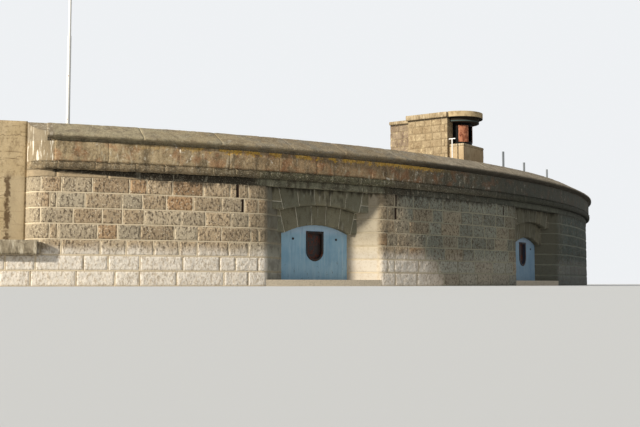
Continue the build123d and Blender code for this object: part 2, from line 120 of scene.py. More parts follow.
# Rear doorways.
DOOR_HW = 1.2 * M
DOOR_RISE = 0.6 * M
DOOR_CROWN_Z = 3.1 * M
DOOR_HEAD = 0.32 * M
DOOR_STONES = 7
DOOR_GAP = 0.003
DOOR_R = (DOOR_HW**2 + DOOR_RISE**2) / (2 * DOOR_RISE)

# Ends. The mouldings turn round them about one centre line, and the coping's lip stops short.
CORNER_R = 0.8 * M
ROUND_R = FACE_R - CORNER_R
PLAIN_TURN = HALF - (CORNER_R + CORDON_OUT) / ROUND_R
PLAIN_U = PLAIN_TURN * FACE_R
END_U = PLAIN_U + pi / 2 * (CORNER_R + PARAPET_OUT)
LIP_TURN = HALF - 0.75 * M / FACE_R
PIER_TURN = 1.6 * M / FACE_R
PIER_SET = 0.8 * M
PIER_BACK = PIER_SET + 2.0 * M
PIER_TOP = 6.5 * M
BOARD_H = 0.26 * M
LEDGE_OUT = 0.35 * M
LEDGE_H = 0.55 * M
LEDGE_LAP = 0.45 * M / FACE_R

# Joints and stones. SUNK is how far the rim of a thing that stands proud goes into what carries it.
JOINT = 0.062 * M
JOINT_PROUD = 0.0055
BED_PROUD = 0.006
SKIRT = 0.006
SUNK = 0.004
SLOT_RIM = 0.003
SLOT_SKIN = 0.0008
KNOT_CLEAR = 0.004
LINE_CLEAR = 0.002
CHEEK_FADE = 0.45 * M
END_MARGIN = (0.35 * M, 0.8 * M)
END_DRESSING = 0.55
OPEN_LOW = 0.35
OPEN_HIGH = 0.08
OPEN_DARK = 0.9
STONE = 1.12 * M
SHORT_REACH = 0.25 * M
LONG_REACH = 0.7 * M
ROUND_END_REACH = (-0.25 * M, 0.1 * M)
SIDE_GAP = 0.004
SIDE_JOINT = 0.007
END_JOINT = 0.012
SIDE_PROUD = 0.003
SIDE_BED_PROUD = 0.0035
HOLE_CLEAR = 0.02
SPRINGER_GAP = 0.006
SPRINGER_JOINT = 0.009

rng = np.random.default_rng(11)


# Noise on arrays of points.

def lattice(cells, seed):
    """A repeatable random number for each cell of whole numbers."""
    x, y, z = (cells[..., k].astype(np.int64) for k in range(3))
    h = x * 374761393 + y * 668265263 + z * 2147483647 + seed * 974634777
    h = (h ^ (h >> 13)) * 1274126177
    h = h ^ (h >> 16)
    return (h & 0xFFFFFF) / float(0x1000000)


def value_noise(points, size, seed=0):
    """Smooth noise from 0 to 1 whose features are about size metres."""
    p = points / size
    base = np.floor(p).astype(np.int64)
    f = p - base
    f = f * f * (3 - 2 * f)
    total = np.zeros(points.shape[:-1])
    for corner in range(8):
        step = np.array([(corner >> k) & 1 for k in range(3)])
        weight = np.prod(np.where(step, f, 1 - f), axis=-1)
        total += weight * lattice(base + step, seed)
    return total


def rough(points, size, octaves=3, seed=0):
    """Layered noise, from about -1 to 1."""
    total = np.zeros(points.shape[:-1])
    scale, weight, reach = size, 1.0, 0.0
    for k in range(octaves):
        total += weight * (2 * value_noise(points, scale, seed + 31 * k) - 1)
        reach += weight
        scale, weight = scale * 0.5, weight * 0.6
    return total / reach


def smooth(t, low, high):
    """Eased step from 0 at low to 1 at high."""
    x = np.clip((t - low) / (high - low), 0, 1)
    return x * x * (3 - 2 * x)


# Points and lines in plan.

def at(radius, turn):
    """A point in plan at a radius from the arc's axis."""
    return np.array([radius * sin(turn), CENTRE_Y - radius * cos(turn)])


def local(bay, across, setback):
    """A point in plan beside the axis of a bay, behind the granite face."""
    return at(FACE_R - setback, bay) + across * np.array([cos(bay), sin(bay)])


def on_arc(radius, turn, z):
    """Points at these radii and turns about the arc's axis, and at these heights."""
    return np.stack([radius * np.sin(turn), CENTRE_Y - radius * np.cos(turn), z + 0 * turn], -1)


def unit(vector):
    """The direction of a vector."""
    return vector / np.hypot(*vector)


def arc_points(radius, start, end, step=0.12):
    """Points in plan along an arc about the battery's axis."""
    count = max(2, int(abs(end - start) * radius / step) + 1)
    return [at(radius, turn) for turn in np.linspace(start, end, count)]


def swing(centre, radius, first, last, count=9):
    """Points in plan on a small arc from first to last, the short way round."""
    start = atan2(*(first - centre)[::-1])
    end = atan2(*(last - centre)[::-1])
    if end - start > pi:
        end -= 2 * pi
    if start - end > pi:
        end += 2 * pi
    return [centre + radius * np.array([cos(a), sin(a)]) for a in np.linspace(start, end, count)]


def mirrored(points):
    """The same points on the other side of the front axis, in the other order."""
    return [np.array([-x, y]) for x, y in points[::-1]]


class Path:
    """A line followed by its length, with the direction out of the wall at each of its points."""

    def __init__(self, points):
        self.points = np.array(points, float)
        steps = np.diff(self.points, axis=0)
        run = np.hypot(*steps.T)
        self.lengths = np.concatenate([[0], np.cumsum(run)])
        self.total = self.lengths[-1]
        out = np.stack([steps[:, 1], -steps[:, 0]], -1) / run[:, None]
        before, after = np.vstack([out[:1], out]), np.vstack([out, out[-1:]])
        both = 1 + (before * after).sum(1, keepdims=True)
        self.outs = (before + after) / both

    def at(self, length, proud):
        """Both coordinates of points at these lengths, proud of the line."""
        value = [np.interp(length, self.lengths, self.points[:, k]) for k in (0, 1)]
        out = [np.interp(length, self.lengths, self.outs[:, k]) for k in (0, 1)]
        return [v + proud * o for v, o in zip(value, out)]

    def near(self, point):
        """The length at the path's point nearest to a point."""
        return self.lengths[np.argmin(np.hypot(*(self.points - point).T))]

    def upright(self, u, z, h):
        """Points of an upright wall that stands on this path in plan."""
        x, y = self.at(u, h)
        return np.stack([x, y, np.broadcast_to(z, x.shape)], -1)

    def swept(self, u, v, h):
        """Points of a moulding: this path is its section, and u is the length along the face."""
        radius, z = self.at(v, h)
        return on_arc(radius, u / FACE_R, z)

    def rounded(self, u, v, h):
        """Points of a moulding that turns round the battery's ends."""
        radius, z = self.at(v, h)
        reach = np.maximum(radius - ROUND_R, 1e-6)
        plain = (HALF - reach / ROUND_R - PLAIN_TURN) * radius
        run = np.clip((np.abs(u) - PLAIN_U) / (END_U - PLAIN_U), 0, 1) * (plain + reach * pi / 2)
        turn = np.minimum(np.abs(u) / FACE_R, PLAIN_TURN) + np.minimum(run, plain) / radius
        bend = np.maximum(run - plain, 0) / reach
        out = np.minimum(radius, ROUND_R) + reach * np.cos(bend)
        side = reach * np.sin(bend)
        x = out * np.sin(turn) + side * np.cos(turn)
        return np.stack([np.sign(u) * x, CENTRE_Y - out * np.cos(turn) + side * np.sin(turn), z], -1)


# Meshes are gathered as arrays and made into one object each.

def put(name, data):
    """A new object in the scene."""
    thing = bpy.data.objects.new(name, data)
    bpy.context.scene.collection.objects.link(thing)
    return thing


class Batch:
    """Vertices, faces, tones and dressing, gathered for one object.

    Dressing is 0 on rock-faced stone, -1 on a dressed left cheek and 1 on dressed pale stone.
    """

    def __init__(self):
        self.points, self.faces, self.tones, self.dressings, self.count = [], [], [], [], 0

    def grid(self, points, tone, dressing=0.0):
        """Add a grid of points, shaped rows by columns by 3, with a tone for all or one a point."""
        rows, columns = points.shape[:2]
        index = self.count + np.arange(rows * columns).reshape(rows, columns)
        quads = np.stack([index[:-1, :-1], index[:-1, 1:], index[1:, 1:], index[1:, :-1]], -1)
        self.points.append(points.reshape(-1, 3))
        self.faces.append(quads.reshape(-1, 4))
        self.tones.append(np.broadcast_to(np.asarray(tone, float), (rows, columns, 4)).reshape(-1, 4))
        self.dressings.append(np.broadcast_to(np.asarray(dressing, float), (rows, columns)).ravel())
        self.count += rows * columns

    def make(self, name, finish, slot):
        """Make the object, ride it on the battery and give it its finish."""
        mesh = bpy.data.meshes.new(name)
        points = np.concatenate(self.points)
        faces = np.concatenate(self.faces)
        mesh.vertices.add(len(points))
        mesh.vertices.foreach_set("co", points.ravel())
        mesh.loops.add(faces.size)
        mesh.loops.foreach_set("vertex_index", faces.ravel().astype(np.int32))
        mesh.polygons.add(len(faces))
        mesh.polygons.foreach_set("loop_start", np.arange(len(faces), dtype=np.int32) * 4)
        mesh.polygons.foreach_set("use_smooth", np.ones(len(faces), bool))
        mesh.update(calc_edges=True)
        tones = mesh.attributes.new("tone", "FLOAT_COLOR", "POINT")
        tones.data.foreach_set("color", np.concatenate(self.tones).ravel())
        dressing = mesh.attributes.new("dressing", "FLOAT", "POINT")
        dressing.data.foreach_set("value", np.concatenate(self.dressings))
        mesh.materials.append(finish)
        piece = put(name, mesh)
        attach(piece, "root")


def random_tone():
    """One stone's tone: lightness, warmth, a mask for painted shade in recesses and one for its worn rim."""
    return np.array([rng.random(), rng.random(), 0, 0])


def grid_lines(low, high, detail, knots=()):
    """Places from low to high about detail apart, with the knots among them and both ends doubled."""
    count = max(2, int(round((high - low) / detail)))
    inner = [k for k in knots if low + KNOT_CLEAR < k < high - KNOT_CLEAR]
    places = np.sort(np.concatenate([np.linspace(low, high, count + 1), inner]))
    places = places[np.concatenate([[True], np.diff(places) > LINE_CLEAR])]
    places[-1] = high
    return np.concatenate([[low], places, [high]])


def undressed(u):
    """The dressing of rock-faced stone."""
    return 0.0 * u


def lay(batch, place, u_span, v_span, look, tone=None, u_knots=(), v_knots=(), slots=(), dressing=undressed):
    """One stone: a grid whose rim sinks into the wall and whose face stands proud.

    look is (detail, margin, relief, size of its roughness, width of its worn edge); slots are
    recesses in it, made dark with painted shade, as (u, half width, bottom, top); dressing gives its dressing
    at u.
    """
    detail, margin, relief, size, edge = look
    for middle, half, bottom, top in slots:
        left, right = middle - half, middle + half
        u_knots = (*u_knots, left, left + SLOT_RIM, right - SLOT_RIM, right)
        v_knots = (*v_knots, bottom, bottom + SLOT_RIM, top - SLOT_RIM, top)
    u = grid_lines(*u_span, detail, u_knots)
    v = grid_lines(*v_span, detail, v_knots)
    uu, vv = np.meshgrid(u, v)
    flat = place(uu, vv, np.zeros_like(uu))
    inset = np.minimum(np.minimum(uu - u[0], u[-1] - uu), np.minimum(vv - v[0], v[-1] - vv))
    lift = smooth(inset, 0, edge)
    waves = 0.55 + 0.5 * rough(flat, size, 2, 3) + 0.3 * rough(flat, size * 3.5, 2, 4)
    worked = dressing(uu)
    waves = waves * (1 - 0.8 * np.abs(worked))
    proud = margin * (0.4 + 0.6 * smooth(inset, 0, 0.35 * edge)) + relief * lift * np.clip(waves, 0, 1.3)
    tones = np.broadcast_to(random_tone() if tone is None else tone, (*uu.shape, 4)).copy()
    tones[..., 3] = 1 - lift
    rim = SLOT_RIM / 2
    for middle, half, bottom, top in slots:
        inside = (np.abs(uu - middle) < half - rim) & (vv > bottom + rim) & (vv < top - rim)
        proud[inside] = SLOT_SKIN
        tones[inside, 2] = 1
    proud[[0, -1], :] = -SKIRT
    proud[:, [0, -1]] = -SKIRT
    batch.grid(place(uu, vv, proud), tones, worked)


def ribbon(batch, place, u_span, v_span, proud, step=0.1, open_joint=0.0, dressing=undressed):
    """A strip of pointing over a joint, proud of the wall; it runs along its longer side.

    open_joint is how much painted shade darkens its middle where the mortar has gone.
    """
    along_u = u_span[1] - u_span[0] > v_span[1] - v_span[0]
    span, across = (u_span, v_span) if along_u else (v_span, u_span)
    count = max(2, int((span[1] - span[0]) / step) + 1)
    run = np.linspace(*span, count)
    width = across[1] - across[0]
    offsets = np.array([0, 0.12, 0.5, 0.88, 1.0]) * width + across[0]
    heights = np.array([-SKIRT, proud * 0.7, proud, proud * 0.7, -SKIRT])
    tones = np.broadcast_to(random_tone(), (*run.shape, 5, 4)).copy()
    tones[:, 2, 2] = open_joint
    across, along = np.meshgrid(offsets, run)
    h = np.broadcast_to(heights, across.shape)
    if along_u:
        across, along, h, tones = across.T, along.T, h.T, tones.swapaxes(0, 1)
    uu, vv = (along, across) if along_u else (across, along)
    batch.grid(place(uu, vv, h), tones, dressing(uu))


def cuts(start, end, mean, row, jitter=0.3):
    """Joints of one course between two places, staggered by row, with both ends among them."""
    length = end - start
    count = max(1, int(round(length / mean)))
    if count == 1:
        return [start, end]
    shift = 0.5 if row % 2 else 0.0
    inner = [(k + shift) / count for k in range(count + 1)]
    clear = 0.35 / count
    inner = [k for k in inner if clear < k < 1 - clear]
    inner = [start + (k + (rng.random() - 0.5) * jitter / count) * length for k in inner]
    return [start, *inner, end]


# How each kind of stone is worked: detail, margin, relief, size of its roughness, worn edge.
ROCK = (0.0235, 0.003, 0.017, 0.062, 0.03)
SPRINGER = (0.04, 0.003, 0.008, 0.08, 0.015)
REAR_ROCK = (0.045, 0.003, 0.014, 0.1, 0.04)
BAND_WORK = (0.045, 0.004, 0.006, 0.12, 0.012)
CORDON_WORK = (0.035, 0.003, 0.016, 0.06, 0.018)
PARAPET_WORK = (0.03, 0.002, 0.011, 0.09, 0.01)
COPING_WORK = (0.035, 0.002, 0.013, 0.08, 0.012)
BLOCK_WORK = (0.03, 0.003, 0.007, 0.06, 0.014)
PIER_WORK = (0.05, 0.005, 0.012, 0.2, 0.02)
LEDGE_WORK = (0.04, 0.002, 0.012, 0.08, 0.02)
BASE_WORK = (0.035, 0.003, 0.006, 0.08, 0.012)
CAP_WORK = (0.03, 0.008, 0.008, 0.06, 0.02)
SLAB_WORK = (0.035, 0.001, 0.008, 0.07, 0.02)


def lay_course(batch, mortar, place, joints, z_span, slots, knots, dressing, opened):
    """One course of the face between joints, with its pointing; opened is the share of open joints."""
    bottom, top = z_span
    gap = JOINT / 2
    inset = 0.6 * gap
    for left, right in pairwise(joints):
        span = (left + (inset if left > joints[0] else 0), right - (inset if right < joints[-1] else 0))
        own = [s for s in slots if left < s[0] < right and s[2] < top and s[3] > bottom]
        own = [(m, w, max(b, bottom + gap), min(t, top - gap)) for m, w, b, t in own]
        lay(batch, place, span, (bottom + inset, top - inset), ROCK, slots=own,
            u_knots=tuple(k for k in knots if span[0] < k < span[1]), dressing=dressing)
    for joint in joints[1:-1]:
        dark = OPEN_DARK if rng.random() < opened else 0.0
        ribbon(mortar, place, (joint - gap, joint + gap), z_span, JOINT_PROUD, open_joint=dark,
               dressing=dressing)
    ribbon(mortar, place, (joints[0], joints[-1]), (max(bottom - gap, 0), bottom + gap), BED_PROUD, 0.06,
           dressing=dressing)


def right_side(bay):
    """Plan of a bay's right-hand side: from the shield along the cheek and round the arris."""
    turn = bay + MOUTH
    corner = at(FACE_R, turn)
    shield = local(bay, THROAT_HW, SHIELD_SET)
    along_cheek = unit(shield - corner)
    along_face = np.array([cos(turn), sin(turn)])
    half = acos(along_cheek @ along_face) / 2
    reach = ARRIS_R / tan(half)
    centre = corner + unit(along_cheek + along_face) * ARRIS_R / sin(half)
    return [shield, *swing(centre, ARRIS_R, corner + along_cheek * reach, corner + along_face * reach)]


def turn_of(point):
    """The angle of a point in plan from the front axis."""
    return atan2(point[0], CENTRE_Y - point[1])


def right_end(plinth):
    """Plan of the battery's right-hand end, from where the plain face stops."""
    if plinth:
        outer = HALF + PIER_TURN
        return [at(FACE_R, outer), at(FACE_R - PIER_BACK, outer)]
    bulge = 0.33
    first = at(FACE_R, HALF - CORNER_R / FACE_R)
    last = at(FACE_R - CORNER_R, HALF)
    middle = at(FACE_R - bulge * CORNER_R, HALF - bulge * CORNER_R / FACE_R)
    chord = last - first
    sag = np.hypot(*(middle - (first + last) / 2))
    radius = (chord @ chord / 4 + sag**2) / (2 * sag)
    centre = middle + unit((first + last) / 2 - middle) * radius
    return swing(centre, radius, first, last)


def front_path(left, right, plinth=False):
    """Plan of the wall between two bays, or a bay and an end; and where its plain face is."""
    start = mirrored(right_end(plinth)) if left is None else right_side(left)
    end = right_end(plinth) if right is None else mirrored(right_side(-right))
    face = arc_points(FACE_R, turn_of(start[-1]), turn_of(end[0]))
    path = Path([*start, *face[1:-1], *end])
    return path, path.near(start[-1]), path.near(end[0])


# Slots in the face, painted black as painted shade, each as the turn of its middle, half its width, and its
# heights.
CHASES = (
    (radians(-27.27), 0.07 * M, 3.68 * M, 4.24 * M),
    (radians(-27.05), 0.06 * M, 3.07 * M, 3.63 * M),
    (radians(-16.52), 0.08 * M, 3.07 * M, 4.23 * M),
    (radians(-5.65), 0.06 * M, 3.69 * M, 4.2 * M),
)


def lay_front_wall(left, right):
    """Granite of one length of the face, with long and short stones round its sides."""
    stones, mortar = Batch(), Batch()
    for row in range(ROWS):
        plinth = row < PLINTH_ROWS
        path, face_start, face_end = front_path(left, right, plinth)
        slots = [(path.near(at(FACE_R, turn)), *rest) for turn, *rest in CHASES]
        slots = [slot for slot in slots if face_start < slot[0] < face_end]

        def at_end(u):
            return 0.0 if plinth else END_DRESSING * (1 - smooth(u, *END_MARGIN))

        def dressing(u):
            first, last = face_start + 0.15 * CHEEK_FADE, face_end - 0.15 * CHEEK_FADE
            first = at_end(u) if left is None else 1 - smooth(u, face_start - CHEEK_FADE, first)
            last = at_end(path.total - u) if right is None else -smooth(u, last, face_end + CHEEK_FADE)
            return first + last

        reach = SHORT_REACH if row % 2 else LONG_REACH
        start = face_start + (reach if left is not None or plinth else ROUND_END_REACH[row % 2])
        end = face_end - reach
        joints = cuts(start, end, STONE * (1.25 if plinth else 1.0), row, 0.55)
        joints = (cuts(0, start, STONE, row)[:-1] if plinth and left is None else [0]) + joints
        joints += cuts(end, path.total, STONE, row)[1:] if plinth and right is None else [path.total]
        span = (row * COURSE, (row + 1) * COURSE)
        corners = tuple(path.lengths[(path.lengths < face_start) | (path.lengths > face_end)])
        lay_course(stones, mortar, path.upright, joints, span, slots, corners, dressing,
                   OPEN_LOW if plinth else OPEN_HIGH)
    return stones, mortar


def lay_ring(batch, mortar, bay, setback, depth, bottom_of, top_of):
    """Stones of one arch ring: each shows its face and its soffit.

    bottom_of(turn) and top_of(turn) are lengths from the outer ring's centre to the ring's edges.
    """
    face_r = FACE_R - setback
    height = top_of(0.0) - bottom_of(0.0)

    def place(turn, v, h):
        bottom, top = bottom_of(turn), top_of(turn)
        on_soffit, on_face = v <= 0, v >= 0
        length = bottom + np.clip(v, 0, 1) * (top - bottom) - np.where(on_soffit, h, 0)
        out = np.clip(v, -1, 0) * depth + np.where(on_face, h, 0)
        angle = bay + np.arcsin(length * np.sin(turn) / face_r)
        return on_arc(face_r + out, angle, RING_CENTRE_Z + length * np.cos(turn))

    joints = np.linspace(-RING_TURN, RING_TURN, RING_STONES + 1)
    gap = RING_GAP / RING_R
    for left, right in pairwise(joints):
        columns = grid_lines(left + gap, right - gap, (right - left) / 13)
        rows = np.concatenate([[-1.0], np.linspace(-1, 0, 5), np.linspace(0, 1, 15)[1:], [1.0]])
        turns, vs = np.meshgrid(columns, rows)
        flat = place(turns, vs, np.zeros_like(turns))
        side = np.minimum(turns - columns[0], columns[-1] - turns) * RING_R
        rise = np.minimum(1 - vs, vs + 1) * height
        lift = smooth(np.minimum(side, rise), 0, RING_WORN)
        near_edge = 1 - 0.6 * np.exp(-((vs * height) / RING_ARRIS) ** 2)
        proud = 0.002 + lift * (0.008 + 0.006 * rough(flat, 0.07, 3, 9)) * near_edge
        proud[:, [0, -1]] = -SKIRT
        proud[[0, -1], :] = -SKIRT
        batch.grid(place(turns, vs, proud), random_tone())
    for joint in joints:
        turns, vs = np.meshgrid(joint + np.array([-1.6, -1, 1, 1.6]) * gap, np.linspace(-1, 1, 17))
        h = np.broadcast_to(np.array([-SKIRT, 0.004, 0.004, -SKIRT]), turns.shape)
        mortar.grid(place(turns, vs, h), random_tone())


def lay_springers(batch, mortar, bay, setback, bottom, top):
    """Coursed stones between a ring's end joints and the cheeks, in the plane of the ring's face."""
    face_r = FACE_R - setback
    width = half_width_at(setback)
    beds = [k * COURSE for k in range(ROWS) if bottom + 0.05 < k * COURSE < top - 0.05]
    levels = [bottom, *beds, top]
    for side in (-1, 1):
        def place(u, z, h):
            joint = (z - RING_CENTRE_Z) * tan(RING_TURN)
            share = u / width
            across = side * (joint + (width - joint) * (share if side > 0 else 1 - share))
            return on_arc(face_r + h, bay + np.arcsin(across / face_r), z)

        for low, high in pairwise(levels):
            span = (low + SPRINGER_GAP, high - SPRINGER_GAP)
            lay(batch, place, (0.01, width - 0.01), span, SPRINGER)
            ribbon(mortar, place, (0, width), (high - SPRINGER_JOINT, high + SPRINGER_JOINT), 0.004)


def outer_top(turn):
    """Length from the outer ring's centre to the underside of the band."""
    return (WALL_TOP - RING_CENTRE_Z) / np.cos(turn)


def between_rings(turn):
    """Length from the outer ring's centre to the curve between the rings."""
    return RING_R + 0 * turn


def inner_bottom(turn):
    """Length from the outer ring's centre to the inner ring's soffit."""
    drop = (CROWN_Z - SOFFIT_R) - RING_CENTRE_Z
    return drop * np.cos(turn) + np.sqrt(SOFFIT_R**2 - (drop * np.sin(turn)) ** 2)


def half_width_at(setback):
    """Half of an embrasure's width, behind the face."""
    return MOUTH_HW - (MOUTH_HW - THROAT_HW) * setback / SHIELD_SET


# Finishes. Where they change along the battery is given as turns in degrees, from and to.
GREY_FROM = (-17.0, -14.0)
GREY_DEEPER = (0.5, 5.0)
CHEEK_SHADE_FROM = (-14.0, -10.0)
PAINTED_SHADE = (-12.0, -4.0)
STAINED = (-35.0, -30.0)
MIDDLE_FROM = (-29.0, -20.0)
RIGHT_FROM = (-15.0, -8.0)
SHADE_FAR_RIGHT = (-15.0, -2.0)
LIP_SHADE = (-20.0, -12.0)
LICHEN_FROM = (-29.0, -25.0)
LICHEN_TO = (-8.0, -11.0)
FOOT_GONE = (-37.0, -29.5)
STRIP_TURN = -38.7


def rgb(red, green, blue):
    """A screen colour, from 0 to 255, as the linear colour that a shader takes."""
    def linear(value):
        value /= 255
        return value / 12.92 if value <= 0.04045 else ((value + 0.055) / 1.055) ** 2.4
    return (linear(red), linear(green), linear(blue), 1.0)


class Value:
    """A number that a node gives. A sum with it makes the next node."""

    def __init__(self, finish, socket):
        self.finish, self.socket = finish, socket

    def __add__(self, other):
        return self.finish.math("ADD", self, other)

    def __sub__(self, other):
        return self.finish.math("SUBTRACT", self, other)

    def __rsub__(self, other):
        return self.finish.math("SUBTRACT", other, self)

    def __mul__(self, other):
        return self.finish.math("MULTIPLY", self, other)

    def __abs__(self):
        return self.finish.math("ABSOLUTE", self)


class Finish:
    """A material being made: a colour that is tinted coat by coat, and reliefs."""

    def __init__(self, name, roughness, specular):
        self.material = bpy.data.materials.new(name)
        self.material.use_nodes = True
        self.tree = self.material.node_tree
        self.shader = self.tree.nodes["Principled BSDF"]
        self.shader.inputs["Roughness"].default_value = roughness
        self.shader.inputs["Specular IOR Level"].default_value = specular
        self.place = self.tree.nodes.new("ShaderNodeTexCoord").outputs["Object"]
        x, y, self.z = self.values("ShaderNodeSeparateXYZ", {"Vector": self.place})
        self.turn = self.math("DEGREES", self.math("ARCTAN2", x, CENTRE_Y - y))
        self.colour = self.normal = None

    def feed(self, socket, value):
        """Link a value or a colour to a socket, or set it there when it is plain."""
        if isinstance(value, Value):
            value = value.socket
        if isinstance(value, bpy.types.NodeSocket):
            self.tree.links.new(value, socket)
        else:
            socket.default_value = value

    def add(self, kind, inputs, **settings):
        """A node with its settings and inputs."""
        node = self.tree.nodes.new(kind)
        for key, value in settings.items():
            setattr(node, key, value)
        for key, value in inputs.items():
            self.feed(node.inputs[key], value)
        return node

    def values(self, kind, inputs, **settings):
        """What a new node gives, as values."""
        return [Value(self, socket) for socket in self.add(kind, inputs, **settings).outputs]

    def math(self, operation, first, second=0.0):
        """One sum of two numbers."""
        return self.values("ShaderNodeMath", {0: first, 1: second}, operation=operation)[0]

    def step(self, value, low, high):
        """Eased step of a value, from 0 at low to 1 at high."""
        inputs = {"Value": value, "From Min": low, "From Max": high}
        return self.values("ShaderNodeMapRange", inputs, interpolation_type="SMOOTHSTEP")[0]

    def noise(self, size, detail=4.0, stretch=1.0, shift=0.0, roughness=0.6):
        """Noise from 0 to 1 with features of about size metres, drawn out in height by stretch."""
        scale = (1 / size, 1 / size, 1 / (size * stretch))
        inputs = {"Vector": self.place, "Scale": scale, "Location": (shift,) * 3}
        place = self.add("ShaderNodeMapping", inputs).outputs[0]
        inputs = {"Vector": place, "Scale": 1.0, "Detail": detail, "Roughness": roughness}
        return self.values("ShaderNodeTexNoise", inputs)[0]

    def patches(self, size, low, high, detail=4.0, **look):
        """Patches of about size metres: 0 where their noise is at low and 1 where it is at high."""
        return self.step(self.noise(size, detail, **look), low, high)

    def mix(self, amount, first, second):
        """Two colours mixed."""
        return self.add("ShaderNodeMix", {0: amount, 6: first, 7: second}, data_type="RGBA").outputs[2]

    def tint(self, amount, colour):
        """Lay another colour over the finish."""
        self.colour = self.mix(amount, self.colour, colour)

    def scale(self, colour, factor):
        """A colour made lighter or darker by a factor."""
        if not isinstance(colour, bpy.types.NodeSocket):
            return tuple(factor * part for part in colour[:3]) + (1.0,)
        return self.add("ShaderNodeVectorMath", {0: colour, "Scale": factor}, operation="SCALE").outputs[0]

    def tone(self):
        """The stone's own lightness, warmth and black mask."""
        colour = self.add("ShaderNodeAttribute", {}, attribute_name="tone").outputs["Color"]
        return self.values("ShaderNodeSeparateColor", {"Color": colour})

    def own(self, attribute, output):
        """A number that the mesh has at each of its points."""
        return Value(self, self.add("ShaderNodeAttribute", {}, attribute_name=attribute).outputs[output])

    def bump(self, height, depth):
        """Add a relief of a given depth in metres."""
        inputs = {"Height": height, "Distance": depth}
        if self.normal is not None:
            inputs["Normal"] = self.normal
        self.normal = self.add("ShaderNodeBump", inputs).outputs["Normal"]

    def done(self, roughness=None):
        """Link the colour and what else was made, and give the material."""
        self.feed(self.shader.inputs["Base Color"], self.colour)
        if roughness is not None:
            self.feed(self.shader.inputs["Roughness"], roughness)
        if self.normal is not None:
            self.feed(self.shader.inputs["Normal"], self.normal)
        return self.material


def dark_side(f):
    """0 on the warm left of the battery and 1 on its dark right, which is partly grey-green staining and
    partly painted shade; the edge leans with height.
    """
    lean = (WALL_TOP - f.z) * (4.0 / WALL_TOP)
    return f.step(f.turn + f.noise(0.5, 3.0) * 3.0 - lean, *GREY_FROM)


def off_axis(f):
    """Degrees from the axis of the nearest embrasure."""
    nearest = 90.0
    for bay in BAYS:
        nearest = f.math("MINIMUM", nearest, abs(f.turn - degrees(bay)))
    return nearest


def by_embrasures(f):
    """1 at an embrasure's mouth and over it, fading along the wall, where the face is darkened partly by
    staining and partly as painted shade.
    """
    mouth = degrees(MOUTH)
    side = f.step(off_axis(f) + f.noise(0.25, 3.0, shift=11.0) * 2.0, mouth + 3.2, mouth + 0.4)
    return side * f.step(f.z, 0.9 * M, 2.4 * M)


def over_embrasures(f):
    """1 straight over an embrasure's mouth."""
    mouth = degrees(MOUTH)
    return f.step(off_axis(f) + f.noise(0.12, 3.0, shift=21.0) * 0.8, mouth + 1.3, mouth + 0.5)


def under_band(f):
    """Black wet stain that runs down the face from under the band, ending in a ragged fringe."""
    stain = f.step(f.z + f.noise(0.12, stretch=4) * 0.5, WALL_TOP + 0.13, WALL_TOP + 0.27)
    f.tint(stain * (f.step(f.turn, *STAINED) * 0.65 + 0.15), rgb(50, 45, 36))


